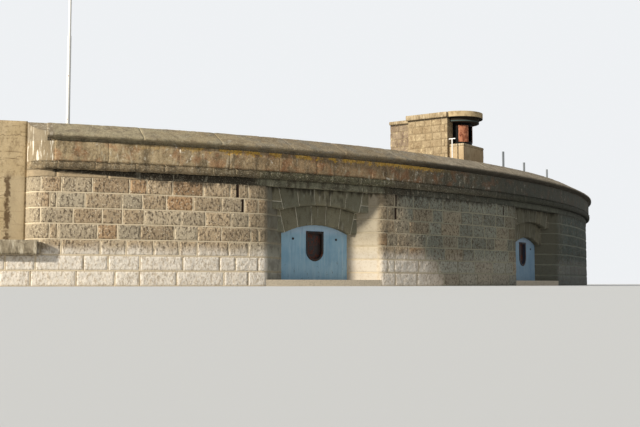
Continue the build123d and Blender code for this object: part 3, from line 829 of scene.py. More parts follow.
def granite(name, patchy=False):
    """Rock-faced granite: warm and sandy on the left, grey-green on the right, partly staining and partly
    painted shade, pale near the ground.

    Where it is patchy, as at the rear, the grey comes in patches all along.
    """
    f = Finish(name, roughness=0.93, specular=0.2)
    light, warm, black = f.tone()
    dark = f.patches(1.6, 0.4, 0.66, shift=33.0) if patchy else dark_side(f)
    far = dark * 0.3 if patchy else f.step(f.turn, *GREY_DEEPER)
    sand = f.mix(f.step(warm, 0.65, 1.0), rgb(166, 146, 118), rgb(160, 128, 94))
    sand = f.mix(f.step(warm, 0.4, 0.0), sand, rgb(166, 153, 130))
    # The grey of the dark right, and its deeper grey at the far right, are partly grey-green staining and
    # partly painted shade.
    grey = f.mix(f.step(warm, 0.3, 0.9), rgb(118, 119, 106), rgb(132, 122, 102))
    grey = f.mix(far, grey, rgb(66, 75, 70))
    f.colour = f.scale(f.mix(dark, sand, grey), light * 0.4 + 0.8)
    pale = f.step(f.z + f.noise(0.35, 3.0) * 0.3, PLINTH_TOP + 0.42, PLINTH_TOP + 0.12) * (1.0 - dark * 0.85)
    f.tint(pale * 0.85, rgb(226, 218, 205))
    # The dressed stones of the embrasures' cheeks, pale on the lit one and grey on the other; the grey is
    # partly staining and partly painted shade, and the pale cheeks of the middle and right embrasures get
    # painted shade.
    work = f.own("dressing", "Fac")
    rock = 1.0 - abs(work)
    cheek_shade = f.step(f.turn, *CHEEK_SHADE_FROM)
    cream = f.mix(f.patches(0.3, 0.42, 0.66, 5.0, shift=17.0), rgb(198, 181, 153), rgb(172, 152, 122))
    f.tint(f.step(work, 0.0, 0.9) * 0.85, f.mix(cheek_shade, cream, rgb(92, 92, 80)))
    bright = f.mix(f.step(f.z, 1.9 * M, 1.3 * M), rgb(236, 221, 194), rgb(196, 188, 174))
    f.tint(f.step(work, 0.6, 1.0) * 0.7, f.mix(cheek_shade, bright, rgb(100, 99, 86)))
    worn = f.patches(0.05, 0.5, 0.36, 6.0, shift=36.0, roughness=0.7) * f.step(work, 0.3, 0.8)
    f.tint(worn * 0.4, f.mix(cheek_shade, rgb(162, 140, 110), rgb(70, 68, 58)))
    at_end = f.step(f.turn, 1.5 - degrees(HALF), 0.4 - degrees(HALF)) * f.step(pale, 0.6, 0.2)
    f.tint(at_end * 0.85, rgb(152, 139, 116))
    # Partly painted shade: the grey of the left-hand cheeks, which are also stained.
    cheek = f.mix(f.patches(0.2, 0.4, 0.66, shift=18.0), rgb(143, 142, 129), rgb(106, 104, 94))
    f.tint(f.step(work, 0.0, -0.9) * 0.9, cheek)
    # Worn rims, pits and crumbs of the rock face; then the darkening by the embrasures, partly staining and
    # partly painted shade; the wet stain under the band; and the slots' painted shade.
    rim = f.own("tone", "Alpha") * f.patches(0.12, 0.35, 0.6, 3.0, shift=12.0)
    f.tint(rim * 0.45, f.mix(dark, rgb(216, 198, 164), rgb(150, 146, 126)))
    pits = f.patches(0.04, 0.52, 0.38, stretch=1.7, shift=3.0) * rock
    f.tint(pits * 0.78, f.mix(pale, rgb(66, 54, 42), rgb(172, 156, 134)))
    crumbs = f.patches(0.03, 0.55, 0.68, 3.0, shift=8.0) * rock
    f.tint(crumbs * (0.6 - dark * 0.35), rgb(222, 208, 182))
    # Partly staining, partly painted shade by the embrasures' mouths.
    f.tint(by_embrasures(f) * 0.6, rgb(84, 80, 66))
    under_band(f)
    # Painted shade: the slots' mask paints the chases near-black brown.
    f.tint(black, rgb(46, 34, 26))
    f.bump(f.noise(0.035, 5.0, shift=3.0) * (rock * 0.7 + 0.3), 0.013)
    f.bump(f.noise(0.006, 2.0), 0.0015)
    return f.done()


def dressed(name, base, cool, pale_low=0.0, streaks=0.0):
    """Dressed granite: fine-grained, with wet stain under the band and chalky runs where it is sheltered;
    with streaks it also gets painted shade from the middle embrasure rightwards.
    """
    f = Finish(name, roughness=0.92, specular=0.2)
    light, warm, _ = f.tone()
    f.colour = f.scale(f.mix(warm, base, cool), light * 0.22 + 0.88)
    f.tint(f.patches(0.3, 0.42, 0.66, 5.0, shift=1.0) * 0.4, f.scale(base, 0.62))
    if pale_low:
        f.tint(f.step(f.z + f.noise(0.35, 3.0) * 0.3, 3.0 * M, 1.6 * M) * pale_low, rgb(226, 212, 188))
    if streaks:
        f.tint(f.patches(0.05, 0.6, 0.72, stretch=12, shift=2.0) * streaks, rgb(196, 192, 176))
        f.tint(f.patches(0.12, 0.5, 0.68, stretch=3, shift=7.0) * 0.55, rgb(58, 54, 44))
        # Painted shade on the voussoirs from the middle embrasure rightwards.
        f.tint(f.step(f.turn, *PAINTED_SHADE) * 0.5, rgb(52, 50, 42))
    f.tint(f.patches(0.02, 0.5, 0.36, shift=8.0) * 0.35, rgb(84, 72, 56))
    under_band(f)
    f.bump(f.noise(0.04, 5.0, shift=3.0), 0.005)
    f.bump(f.noise(0.006, 2.0), 0.001)
    return f.done()


def pointing():
    """Lime pointing: cream on the left, grey-green on the right, partly painted shade, dirty in places."""
    f = Finish("lime_pointing", roughness=0.95, specular=0.15)
    # Partly painted shade: the pointing is greyer on the right and deeper at the far right.
    f.colour = f.mix(dark_side(f), rgb(203, 187, 159), rgb(146, 142, 122))
    f.tint(f.step(f.turn, *GREY_DEEPER), rgb(112, 116, 104))
    f.tint(f.patches(0.3, 0.52, 0.72, shift=5.0) * 0.45, rgb(140, 122, 96))
    # Partly painted shade: greyer pointing on the left-hand cheeks.
    f.tint(f.step(f.own("dressing", "Fac"), 0.0, -0.9) * 0.7, rgb(128, 124, 108))
    # Painted shade in the joints where the mortar has gone, from the tone's mask.
    f.tint(f.tone()[2], rgb(84, 70, 56))
    # Partly staining, partly painted shade by the embrasures' mouths.
    f.tint(by_embrasures(f) * 0.45, rgb(96, 92, 76))
    under_band(f)
    f.bump(f.noise(0.02), 0.004)
    return f.done()


def weathered(name, left, middle, right, dirt, streaks=0.0, lichen=0.0, chalk=0.0, coarse=0.45, speckle=0.3,
              bump_depth=0.01, high=1.0, sheltered=None, ends=None, deep=None, lip=None, foot=None):
    """Weathered slabs whose colour goes from left through middle to right along the battery.

    streaks, lichen, chalk, coarse spots and fine speckle are how strong each is; high is the slab's
    top. Colours for parts of it: sheltered over the embrasures, ends past the coping's lip, deep as
    painted shade far to the right, and foot on the band's lower half at the left, as the lit strip under
    the band's painted shadow. lip is the height of an edge that gets painted shade underneath at the right.
    """
    f = Finish(name, roughness=0.92, specular=0.2)
    turn = f.turn + f.noise(1.2, 3.0) * 8.0
    f.colour = f.mix(f.step(turn, *MIDDLE_FROM), left, middle)
    f.tint(f.step(turn, *RIGHT_FROM), right)
    if sheltered is not None:
        f.tint(over_embrasures(f), sheltered)
    f.colour = f.scale(f.colour, f.tone()[0] * 0.12 + 0.94)
    f.tint(f.patches(0.22, 0.42, 0.66, 5.0, shift=1.0) * 0.6, dirt)
    if streaks:
        run = f.patches(0.06, 0.55, 0.7, stretch=5, shift=2.0) * f.patches(0.6, 0.4, 0.62, 2.0, shift=13.0)
        f.tint(run * streaks, rgb(204, 196, 172))
        f.tint(f.patches(0.16, 0.48, 0.66, stretch=3.5, shift=7.0) * streaks, rgb(58, 50, 38))
    if lichen:
        f.tint(f.patches(0.3, 0.5, 0.66, 5.0, shift=15.0) * (0.5 * lichen), rgb(150, 96, 58))
        height = f.z + f.noise(0.08, 5.0, shift=16.0, roughness=0.65) * 0.3
        patch = f.patches(0.32, 0.43, 0.49, shift=4.0) * f.step(height, high + 0.06, high + 0.1)
        patch = patch * (f.step(turn, *LICHEN_FROM) * f.step(turn, *LICHEN_TO))
        ochre = f.mix(f.patches(0.03, 0.4, 0.6, 3.0, shift=22.0), rgb(214, 170, 70), rgb(160, 122, 50))
        f.tint(patch * lichen, ochre)
    if chalk:
        white = f.patches(0.14, 0.58, 0.66, 6.0, shift=6.0, roughness=0.75)
        f.tint(white * f.patches(0.8, 0.42, 0.6, 2.0, shift=9.0) * chalk, rgb(228, 220, 202))
    spots = f.noise(0.045, 6.0, shift=19.0, roughness=0.7)
    f.tint(f.step(spots, 0.5, 0.34) * coarse, rgb(78, 68, 50))
    f.tint(f.step(spots, 0.56, 0.7) * coarse, rgb(206, 194, 168))
    # The foot is the lit strip under the band's painted shadow; it narrows to the right as that shadow
    # deepens.
    if foot is not None:
        level = f.z + f.noise(0.15, shift=35.0) * 0.06 + f.step(f.turn, *FOOT_GONE) * 0.14
        f.tint(f.step(level, WALL_TOP + 0.135, WALL_TOP + 0.105) * 0.85, foot)
    fine = f.noise(0.02, 5.0, shift=23.0, roughness=0.7)
    f.tint(f.step(fine, 0.46, 0.36) * speckle, rgb(58, 50, 38))
    f.tint(f.step(fine, 0.56, 0.66) * speckle, rgb(222, 212, 188))
    if ends is not None:
        past = f.step(abs(f.turn), degrees(LIP_TURN) - 0.35, degrees(LIP_TURN) - 0.25)
        stained = f.mix(f.patches(0.2, 0.4, 0.7, 5.0, shift=14.0), ends, f.scale(ends, 0.7))
        f.tint(past * 0.85, stained)
        drips = f.patches(0.06, 0.54, 0.6, stretch=9, shift=41.0) * f.patches(0.3, 0.4, 0.5, 3.0, shift=42.0)
        f.tint(drips * past * chalk, rgb(228, 218, 198))
    # Painted shade far to the right.
    if deep is not None:
        f.tint(f.step(f.turn, *SHADE_FAR_RIGHT) * 0.78, deep)
    # Painted shade under the coping's lip, to the right.
    if lip is not None:
        under = f.step(f.z, lip + 0.7 * LIP_H, lip + 0.2 * LIP_H) * f.step(f.turn, *LIP_SHADE)
        f.tint(under * 0.8, rgb(44, 42, 36))
    f.bump(f.noise(0.05, 6.0, shift=2.0), bump_depth)
    f.bump(f.noise(0.008, 3.0), 0.0015)
    return f.done()


def plaster(name, base, dark, pale, cracks=0.6, strip=None, boards=0.0, drips=0.0):
    """Old cement render: patchy, cracked and stained down from the top.

    strip is the colour of a smooth upright strip on the battery's left pier; boards is how strong
    the marks of the shuttering boards are, and drips how strong the pale and dark runs.
    """
    f = Finish(name, roughness=0.94, specular=0.18)
    f.colour = f.mix(f.patches(0.5, 0.4, 0.65, 5.0), base, pale)
    f.tint(f.patches(0.12, 0.5, 0.66, 6.0, stretch=2.5, shift=3.0, roughness=0.7) * 0.5, dark)

    def level_line(per_metre, waves):
        return abs(f.math("FRACT", f.z * per_metre + waves) - 0.5)

    if cracks:
        line = level_line(2.3, f.noise(0.7, shift=5.0) * 1.3)
        crack = f.step(line, 0.022, 0.008) * f.patches(0.4, 0.4, 0.55, 2.0, shift=6.0)
        f.tint(crack * cracks, rgb(92, 74, 54))
    if boards:
        line = level_line(1 / BOARD_H, f.noise(0.5, 3.0, shift=24.0) * 0.5)
        mark = f.step(line, 0.13, 0.05) * f.patches(0.16, 0.46, 0.58, 5.0, shift=25.0)
        f.tint(mark * boards, dark)
        mottle = f.noise(0.05, 6.0, shift=26.0, roughness=0.7)
        f.tint(f.step(mottle, 0.46, 0.34) * boards, dark)
        f.tint(f.step(mottle, 0.56, 0.7) * (0.7 * boards), rgb(206, 188, 150))
    if drips:
        run = f.noise(0.05, 5.0, stretch=5, shift=27.0, roughness=0.65)
        f.tint(f.step(run, 0.54, 0.64) * drips, rgb(212, 202, 178))
        f.tint(f.step(run, 0.47, 0.36) * drips, rgb(70, 60, 44))
    if strip is not None:
        away = abs(f.turn - STRIP_TURN)
        low = f.step(f.z, 4.4 * M, 4.2 * M)
        f.tint(f.step(away, 0.5, 0.42) * low * 0.75, strip)
        edge = f.step(abs(away + f.noise(0.1, 5.0, shift=28.0) * 0.5 - 0.78), 0.2, 0.08)
        f.tint(edge * f.patches(0.25, 0.38, 0.5, shift=29.0) * low * 0.85, rgb(76, 56, 36))
    f.bump(f.noise(0.07, 6.0, shift=3.0), 0.006)
    return f.done()


def blockwork(name, base, dark, pale, top, stains=0.45):
    """Sandy blocks of the lookout, mottled, pitted and stained, and black close under the slab at top as the
    slab's painted shadow.
    """
    f = Finish(name, roughness=0.93, specular=0.2)
    light, warm, _ = f.tone()
    f.colour = f.scale(f.mix(f.step(warm, 0.3, 0.9) * 0.5, base, pale), light * 0.1 + 0.95)
    worn = f.noise(0.1, 6.0, shift=31.0, roughness=0.7)
    f.tint(f.step(worn, 0.47, 0.36) * 0.6, dark)
    f.tint(f.step(worn, 0.54, 0.66) * 0.7, rgb(196, 178, 140))
    f.tint(f.patches(0.045, 0.54, 0.7, 5.0, shift=2.0) * 0.6, dark)
    f.tint(f.patches(0.2, 0.55, 0.72, 5.0, shift=4.0) * stains, dark)
    # Painted shadow of the slab, close under the blocks' top.
    f.tint(f.step(f.z, top - 0.06, top - 0.035) * 0.85, rgb(44, 36, 26))
    f.bump(f.noise(0.03, 5.0, shift=2.0), 0.008)
    return f.done()


def rusted(name, steel, rust, amount=0.5, streak=3.0, specular=0.35):
    """Steel with ragged rust, drawn out downwards by streak; amount is how much there is."""
    f = Finish(name, roughness=0.75, specular=specular)
    low = 0.62 - 0.3 * amount
    patch = f.patches(0.09, low, low + 0.1, 7.0, stretch=streak, roughness=0.7)
    deep = f.mix(f.patches(0.03, 0.4, 0.65, 5.0, shift=4.0), rust, rgb(88, 44, 24))
    f.colour = f.mix(patch, steel, deep)
    f.bump(f.noise(0.012, 5.0) + patch, 0.002)
    return f.done(patch * 0.3 + 0.55)


def painted_shield():
    """Pale blue paint on the shields: upright runs, rust towards the sill, painted shade on the port's
    reveal, and painted shade from the middle embrasure rightwards.
    """
    f = Finish("shield_blue", roughness=0.6, specular=0.35)
    f.colour = f.mix(f.patches(0.5, 0.4, 0.62, 3.0), rgb(142, 176, 194), rgb(126, 164, 186))
    f.tint(f.step(f.z, 2.2 * M, 2.5 * M), rgb(166, 192, 212))
    f.tint(f.patches(0.05, 0.5, 0.66, stretch=14) * 0.4, rgb(176, 198, 206))
    f.tint(f.patches(0.07, 0.54, 0.7, stretch=10, shift=5.0) * 0.5, rgb(96, 132, 160))
    low = f.step(f.z + f.noise(0.2, shift=2.0) * 0.7, 1.05, 0.7)
    f.tint(low * 0.3, rgb(150, 186, 208))
    # Painted shade on the port's reveal and a little round it, inside the port's outline.
    across = f.math("RADIANS", off_axis(f)) * (FACE_R - SHIELD_SET)
    below = f.math("MINIMUM", f.z - (PORT_Z + PORT_HW), 0.0)
    apart = f.math("SQRT", across * across + below * below)
    reveal = PORT_HW + 0.3 * PORT_FRAME_W
    f.tint(f.step(apart, reveal + 0.01, reveal) * f.step(f.z, PORT_TOP + 0.02, PORT_TOP), rgb(40, 30, 26))
    rust = f.patches(0.06, 0.6, 0.66, 7.0, stretch=2, shift=8.0, roughness=0.75) * 0.85
    f.tint(rust * (low * 0.8 + 0.12), rgb(74, 42, 30))
    # Painted shade on the shields from the middle embrasure rightwards.
    f.tint(f.step(f.turn, *PAINTED_SHADE) * 0.45, rgb(76, 88, 108))
    f.bump(f.noise(0.03, 5.0, stretch=3), 0.0025)
    return f.done()


def paint(name, colour, chips):
    """Gloss paint, dull and chipped in places."""
    f = Finish(name, roughness=0.5, specular=0.4)
    f.colour = f.mix(f.noise(0.3, 3.0, stretch=3), colour, f.scale(colour, 0.82))
    f.tint(f.patches(0.04, 0.62, 0.66, 6.0, roughness=0.7), chips)
    f.bump(f.noise(0.02), 0.001)
    return f.done()


def bow_roof():
    """Render of the bow roof: sandy on its upper tier, black under it with a thin pale line."""
    f = Finish("bow_roof_render", roughness=0.94, specular=0.18)
    low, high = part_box("lookout_bow_roof")
    f.colour = f.mix(f.patches(0.15, 0.4, 0.65, 5.0), rgb(178, 158, 122), rgb(142, 122, 90))
    f.tint(f.step(f.z, high[2] - 0.15, high[2] - 0.16), rgb(46, 40, 32))
    f.tint(f.step(abs(f.z - (low[2] + 0.03)), 0.014, 0.01), rgb(72, 86, 82))
    f.bump(f.noise(0.05, 6.0, shift=3.0), 0.004)
    return f.done()


def concrete(name, base, dark):
    """Roof and floor concrete: blotched, with fine grit."""
    f = Finish(name, roughness=0.93, specular=0.2)
    f.colour = f.mix(f.patches(0.9, 0.38, 0.66, 5.0), base, dark)
    f.tint(f.patches(0.07, 0.56, 0.68, 6.0, shift=4.0, roughness=0.7) * 0.4, rgb(84, 80, 70))
    f.bump(f.noise(0.03, 6.0), 0.004)
    return f.done()


FACE = granite("granite_face")
REAR_FACE = granite("granite_rear", patchy=True)
SMOOTH = dressed("dressed_granite_face", rgb(176, 160, 134), rgb(162, 150, 130), pale_low=0.6)
VOUSSOIR = dressed("voussoir_face", rgb(128, 122, 100), rgb(118, 116, 98), streaks=0.6)
POINTING = pointing()
DRIPS = dressed("voussoir_drips", rgb(208, 201, 181), rgb(178, 172, 152), streaks=0.3)
# The band's near-black is painted shadow of the cordon; foot is the lit strip under it, ends the lit band at
# the battery's ends, deep painted shade far right.
BAND = weathered("band_granite", rgb(54, 48, 38), rgb(58, 54, 44), rgb(80, 80, 70), dirt=rgb(40, 36, 28),
                 sheltered=rgb(122, 120, 100), ends=rgb(160, 142, 114), deep=rgb(66, 68, 60),
                 foot=rgb(176, 155, 124), streaks=0.6)
# The cordon's deep colour is painted shade far to the right.
CORDON = weathered("cordon_granite", rgb(140, 122, 94), rgb(88, 80, 62), rgb(84, 80, 66),
                   dirt=rgb(58, 52, 40), sheltered=rgb(84, 82, 62), deep=rgb(40, 42, 36),
                   streaks=0.6, speckle=0.5, bump_depth=0.016)
# The parapet's deep colour is painted shade far to the right.
PARAPET = weathered("parapet_granite", rgb(170, 150, 116), rgb(150, 126, 94), rgb(86, 84, 72),
                    dirt=rgb(96, 80, 58), ends=rgb(144, 128, 102), deep=rgb(60, 62, 56),
                    streaks=0.6, lichen=0.8, chalk=0.9, high=PARAPET_TOP)
# lip gives the coping painted shade under its lip to the right.
COPING = weathered("coping_stone", rgb(158, 146, 118), rgb(128, 119, 102), rgb(150, 138, 118),
                   dirt=rgb(98, 88, 72), ends=rgb(140, 126, 104),
                   lichen=0.1, chalk=0.3, coarse=0.5, speckle=0.45, high=LIP_Z, lip=LIP_Z)
PIER = plaster("pier_render", rgb(174, 154, 119), rgb(106, 86, 60), rgb(184, 165, 132),
               strip=rgb(170, 153, 123), boards=0.5)
LEDGE = plaster("ledge_stone", rgb(138, 126, 104), rgb(74, 62, 46), rgb(158, 146, 124), cracks=0.3, drips=0.6)
LOOKOUT = blockwork("lookout_blocks", rgb(147, 128, 99), rgb(104, 84, 58), rgb(162, 145, 116),
                    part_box("lookout_tower")[1][2])
# The rear block is darker, partly from its stains and partly as painted shade where it stands back.
LOOKOUT_REAR = blockwork("lookout_rear_blocks", rgb(132, 115, 95), rgb(84, 68, 56), rgb(146, 130, 108),
                         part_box("lookout_rear_block")[1][2], stains=0.9)
LOOKOUT_JOINT = plaster("lookout_joint", rgb(144, 125, 96), rgb(112, 92, 64), rgb(156, 139, 110), cracks=0.0)
BASE = plaster("lookout_base_render", rgb(166, 144, 112), rgb(124, 102, 72), rgb(180, 160, 128), cracks=0.0)
SLAB_CAP = plaster("lookout_slab", rgb(150, 132, 102), rgb(84, 68, 48), rgb(170, 152, 122),
                   cracks=0.0, drips=0.4)
BOW_ROOF = bow_roof()
ROOF = concrete("roof_concrete_finish", rgb(160, 152, 136), rgb(136, 128, 112))
FLOOR = concrete("floor_concrete_finish", rgb(134, 130, 120), rgb(116, 112, 102))
# Partly painted shade: the drum's near-black stands partly for dark steel and partly for the shade on its
# side away from the key light.
DRUM = rusted("drum_steel", rgb(15, 16, 15), rgb(44, 28, 22), 0.1, specular=0.06)
SHUTTER = rusted("shutter_steel", rgb(168, 110, 80), rgb(138, 80, 54), 0.5, 2.0)
PORT = rusted("port_steel", rgb(40, 30, 26), rgb(88, 46, 34), 0.5, 1.5)
PORT_FRAME = rusted("port_frame_iron", rgb(34, 28, 25), rgb(74, 42, 30), 0.3)
SHIELD = painted_shield()
WHITE = paint("white_gloss", rgb(232, 230, 224), rgb(140, 96, 66))
GREY = paint("grey_gloss", rgb(82, 88, 92), rgb(96, 66, 46))


def dress_front():
    """The granite face: its stones and pointing, and the arch rings."""
    for index, (left, right) in enumerate(pairwise((None, *BAYS, None)), start=1):
        stones, mortar = lay_front_wall(left, right)
        stones.make(f"wall_stones_{index}", FACE, "granite")
        mortar.make(f"pointing_{index}", POINTING, "granite")
    for index, bay in enumerate(BAYS, start=1):
        rings, joints = Batch(), Batch()
        lay_ring(rings, joints, bay, OUTER_SET, INNER_SET - OUTER_SET, between_rings, outer_top)
        lay_springers(rings, joints, bay, OUTER_SET, RING_SPRING_Z, WALL_TOP)
        lay_ring(rings, joints, bay, INNER_SET, SHIELD_SET - INNER_SET, inner_bottom, between_rings)
        lay_springers(rings, joints, bay, INNER_SET, SPRING_Z, RING_SPRING_Z)
        rings.make(f"voussoirs_{index}", VOUSSOIR, "dressed_granite")
        joints.make(f"voussoir_pointing_{index}", DRIPS, "dressed_granite")


def port_edge(out):
    """Outline of a gun port in the shield's plane, moved out by a length: across and height."""
    half = PORT_HW + out
    foot = PORT_Z + PORT_HW
    bend = np.linspace(0, pi, 13)
    across = np.concatenate([[-half, half], half * np.cos(bend)])
    height = np.concatenate([[PORT_TOP + out, PORT_TOP + out], foot - half * np.sin(bend)])
    return np.stack([np.append(across, -half), np.append(height, PORT_TOP + out)], -1)


def on_shield(bay, lines):
    """A grid on a shield from lines of points; each has the length by which it stands proud."""
    return np.array([[[*local(bay, across, SHIELD_SET - proud), z] for across, z in line]
                     for line, proud in lines])


def dress_shields():
    """An iron frame round each gun port, and a bolt head at each side of it."""
    around = np.linspace(0, 2 * pi, 13)
    inner, outer = port_edge(0), port_edge(PORT_FRAME_W)
    rim = ((inner, -SUNK), (inner, PORT_FRAME_T), (outer, PORT_FRAME_T), (outer, -SUNK))
    head = ((0.0, BOLT_T), (0.7 * BOLT_R, BOLT_T), (BOLT_R, 0.6 * BOLT_T), (BOLT_R, -SUNK))
    for index, bay in enumerate(BAYS, start=1):
        iron = Batch()
        iron.grid(on_shield(bay, rim)[::-1], random_tone())
        for x in (-BOLT_X, BOLT_X):
            rings = [([(x + r * cos(a), BOLT_Z + r * sin(a)) for a in around], proud) for r, proud in head]
            iron.grid(on_shield(bay, rings), random_tone())
        iron.make(f"port_frame_{index}", PORT_FRAME, "rusty_plate")


def lay_moulding(name, section, mean, look, finish, slot, reach=END_U, gap=0.004):
    """A moulding of long stones that runs as far as reach to both sides, with its section as a path."""
    batch = Batch()
    path = Path(section)
    place = path.rounded if reach == END_U else path.swept
    joints = cuts(-reach, reach, mean, 0, jitter=0.35)
    for left, right in pairwise(joints):
        lay(batch, place, (left + gap, right - gap), (0, path.total), look, v_knots=tuple(path.lengths[1:-1]))
    batch.make(name, finish, slot)


def dress_mouldings():
    """Band, cordon, parapet and coping, each in long stones."""
    section = [(FACE_R - OUTER_SET, WALL_TOP), (FACE_R, WALL_TOP), (FACE_R, BAND_TOP)]
    lay_moulding("band_stones", section, 1.7 * M, BAND_WORK, BAND, "granite")
    nose, bevel = FACE_R + CORDON_OUT, 0.3 * CORDON_NOSE
    curve = [(nose - CORDON_NOSE, BAND_TOP), (nose - bevel, BAND_TOP + bevel), (nose, BAND_TOP + CORDON_NOSE)]
    above = [(radius, BAND_TOP + CORDON_TOP - z) for radius, z in curve[::-1]]
    section = [(FACE_R, BAND_TOP), *curve, *above, (FACE_R + PARAPET_OUT, CORDON_TOP)]
    lay_moulding("cordon_stones", section, 1.5 * M, CORDON_WORK, CORDON, "granite", gap=-0.011)
    section = [(FACE_R + PARAPET_OUT, CORDON_TOP), (FACE_R + PARAPET_OUT, PARAPET_TOP),
               (FACE_R + NECK_OUT, PARAPET_TOP)]
    lay_moulding("parapet_stones", section, 2.3 * M, PARAPET_WORK, PARAPET, "parapet_stone",
                 reach=PLAIN_U, gap=-0.012)
    section = [(FACE_R + NECK_OUT, PARAPET_TOP), (FACE_R + NECK_OUT, PARAPET_TOP + NECK_H),
               (FACE_R + LIP_OUT, LIP_Z), (FACE_R + LIP_OUT, LIP_Z + LIP_H),
               (PARAPET_BACK + CREST_W, CREST_Z), (PARAPET_BACK, CREST_Z), (PARAPET_BACK, ROOF_Z)]
    lay_moulding("coping_slabs", section, 3.2 * M, COPING_WORK, COPING, "coping_stone",
                 reach=LIP_TURN * FACE_R, gap=-0.009)


def lay_side(name, path, knots, z_span, course, mean, look, finish, joint_finish, slot, holes=()):
    """Coursed stones on an upright path; stones wrap its corners by a short and a long reach.

    holes are openings left free, as (first u, last u, bottom, top).
    """
    stones, mortar = Batch(), Batch()
    rows = int(round((z_span[1] - z_span[0]) / course))
    height = (z_span[1] - z_span[0]) / rows
    short, long = 0.25 * mean, 0.6 * mean
    for row in range(rows):
        bottom = z_span[0] + row * height
        before, after = (short, long) if row % 2 else (long, short)
        joints = [0.0]
        for knot in [*knots, None]:
            end = path.total if knot is None else knot - before
            joints += cuts(joints[-1], end, mean, row)[1:]
            if knot is not None:
                joints.append(knot + after)
        runs = [joints]
        top = bottom + height
        for first, last, low, high in holes:
            if bottom + HOLE_CLEAR < high and top - HOLE_CLEAR > low:
                runs = [part for run in runs for part in split_run(run, first, last)]
        for run in runs:
            for left, right in pairwise(run):
                lay(stones, path.upright, (left + SIDE_GAP, right - SIDE_GAP),
                    (bottom + SIDE_GAP, top - SIDE_GAP), look, u_knots=tuple(path.lengths))
                joint = (right - SIDE_JOINT, right + SIDE_JOINT)
                if right == path.total:
                    joint = (right - END_JOINT, right)
                if right != run[-1] or right == path.total:
                    ribbon(mortar, path.upright, joint, (bottom, top), SIDE_PROUD)
            bed = (max(bottom - SIDE_JOINT, 0), bottom + SIDE_JOINT)
            ribbon(mortar, path.upright, (run[0], run[-1]), bed, SIDE_BED_PROUD)
    stones.make(name, finish, slot)
    mortar.make(name + "_joints", joint_finish, slot)


def split_run(run, first, last):
    """A course's joints on both sides of an opening."""
    before = [u for u in run if u < first - 0.05] + [first]
    after = [last] + [u for u in run if u > last + 0.05]
    return [part for part in (before, after) if len(part) > 1]


def lay_door_head(batch, mortar, bay):
    """Voussoirs over a doorway of the rear wall, between its arch and their level top."""
    centre_z = DOOR_CROWN_Z - DOOR_R
    end = asin(DOOR_HW / DOOR_R) * DOOR_R

    def place(u, v, h):
        turn = u / DOOR_R
        top = (DOOR_CROWN_Z + DOOR_HEAD - centre_z) / np.cos(turn)
        length = DOOR_R + v / DOOR_HEAD * (top - DOOR_R)
        across = np.clip(length * np.sin(turn), -DOOR_HW, DOOR_HW)
        return on_arc(REAR_R - h, bay + across / REAR_R, centre_z + length * np.cos(turn))

    joints = np.linspace(-end, end, DOOR_STONES + 1)
    for left, right in pairwise(joints):
        lay(batch, place, (left + DOOR_GAP, right - DOOR_GAP), (DOOR_GAP, DOOR_HEAD - DOOR_GAP), SPRINGER)
        if right < joints[-1]:
            joint = (right - 2 * DOOR_GAP, right + 2 * DOOR_GAP)
            ribbon(mortar, place, joint, (0, DOOR_HEAD), 0.004, step=0.03)


def dress_rear():
    """Rear and end walls, in the same granite with plainer work."""
    work = (COURSE, STONE, REAR_ROCK, REAR_FACE, POINTING, "granite")
    middles = [(HALF - bay) * REAR_R for bay in BAYS]
    doors = [(u - DOOR_HW, u + DOOR_HW, 0, DOOR_CROWN_Z + DOOR_HEAD) for u in middles]
    lay_side("rear_stones", Path(arc_points(REAR_R, HALF, -HALF)), [], (0, WALL_TOP), *work, doors)
    heads, joints = Batch(), Batch()
    for bay in BAYS:
        lay_door_head(heads, joints, bay)
    heads.make("door_voussoirs", SMOOTH, "dressed_granite")
    joints.make("door_voussoirs_joints", POINTING, "dressed_granite")
    for side, word in SIDES:
        ends = [at(REAR_R, side * HALF), at(FACE_R - PIER_BACK, side * HALF)]
        lay_side(f"end_stones_{word}", Path(ends[::-side]), [], (0, WALL_TOP), *work)


def lay_sheet(name, path, z_span, look, finish, slot):
    """One sheet of render over an upright path."""
    batch = Batch()
    lay(batch, path.upright, (0, path.total), z_span, look, (0.5, 0.5, 0, 0.5), tuple(path.lengths))
    batch.make(name, finish, slot)


def dress_ends():
    """Rendered piers and their ledges."""
    for side, word in SIDES:
        outer = side * (HALF + PIER_TURN)
        face, back = FACE_R - PIER_SET, FACE_R - PIER_BACK
        path = Path([at(back, outer), at(face, outer), at(face, side * HALF)][::-side])
        lay_sheet(f"pier_render_{word}", path, (PLINTH_TOP, PIER_TOP), PIER_WORK, PIER, "render")
        lap = side * (HALF - LEDGE_LAP)
        front = [at(FACE_R + LEDGE_OUT, turn) for turn in np.linspace(outer, lap, 8)]
        path = Path([at(FACE_R, outer), *front, at(FACE_R, lap)][::-side])
        span = (PLINTH_TOP, PLINTH_TOP + LEDGE_H)
        lay_sheet(f"ledge_face_{word}", path, span, LEDGE_WORK, LEDGE, "granite")


def three_sides(half, start, end):
    """Plan of three sides of a block on the front axis: from y start to y end, across and back."""
    return Path([(-half, start), (-half, end), (half, end), (half, start)])


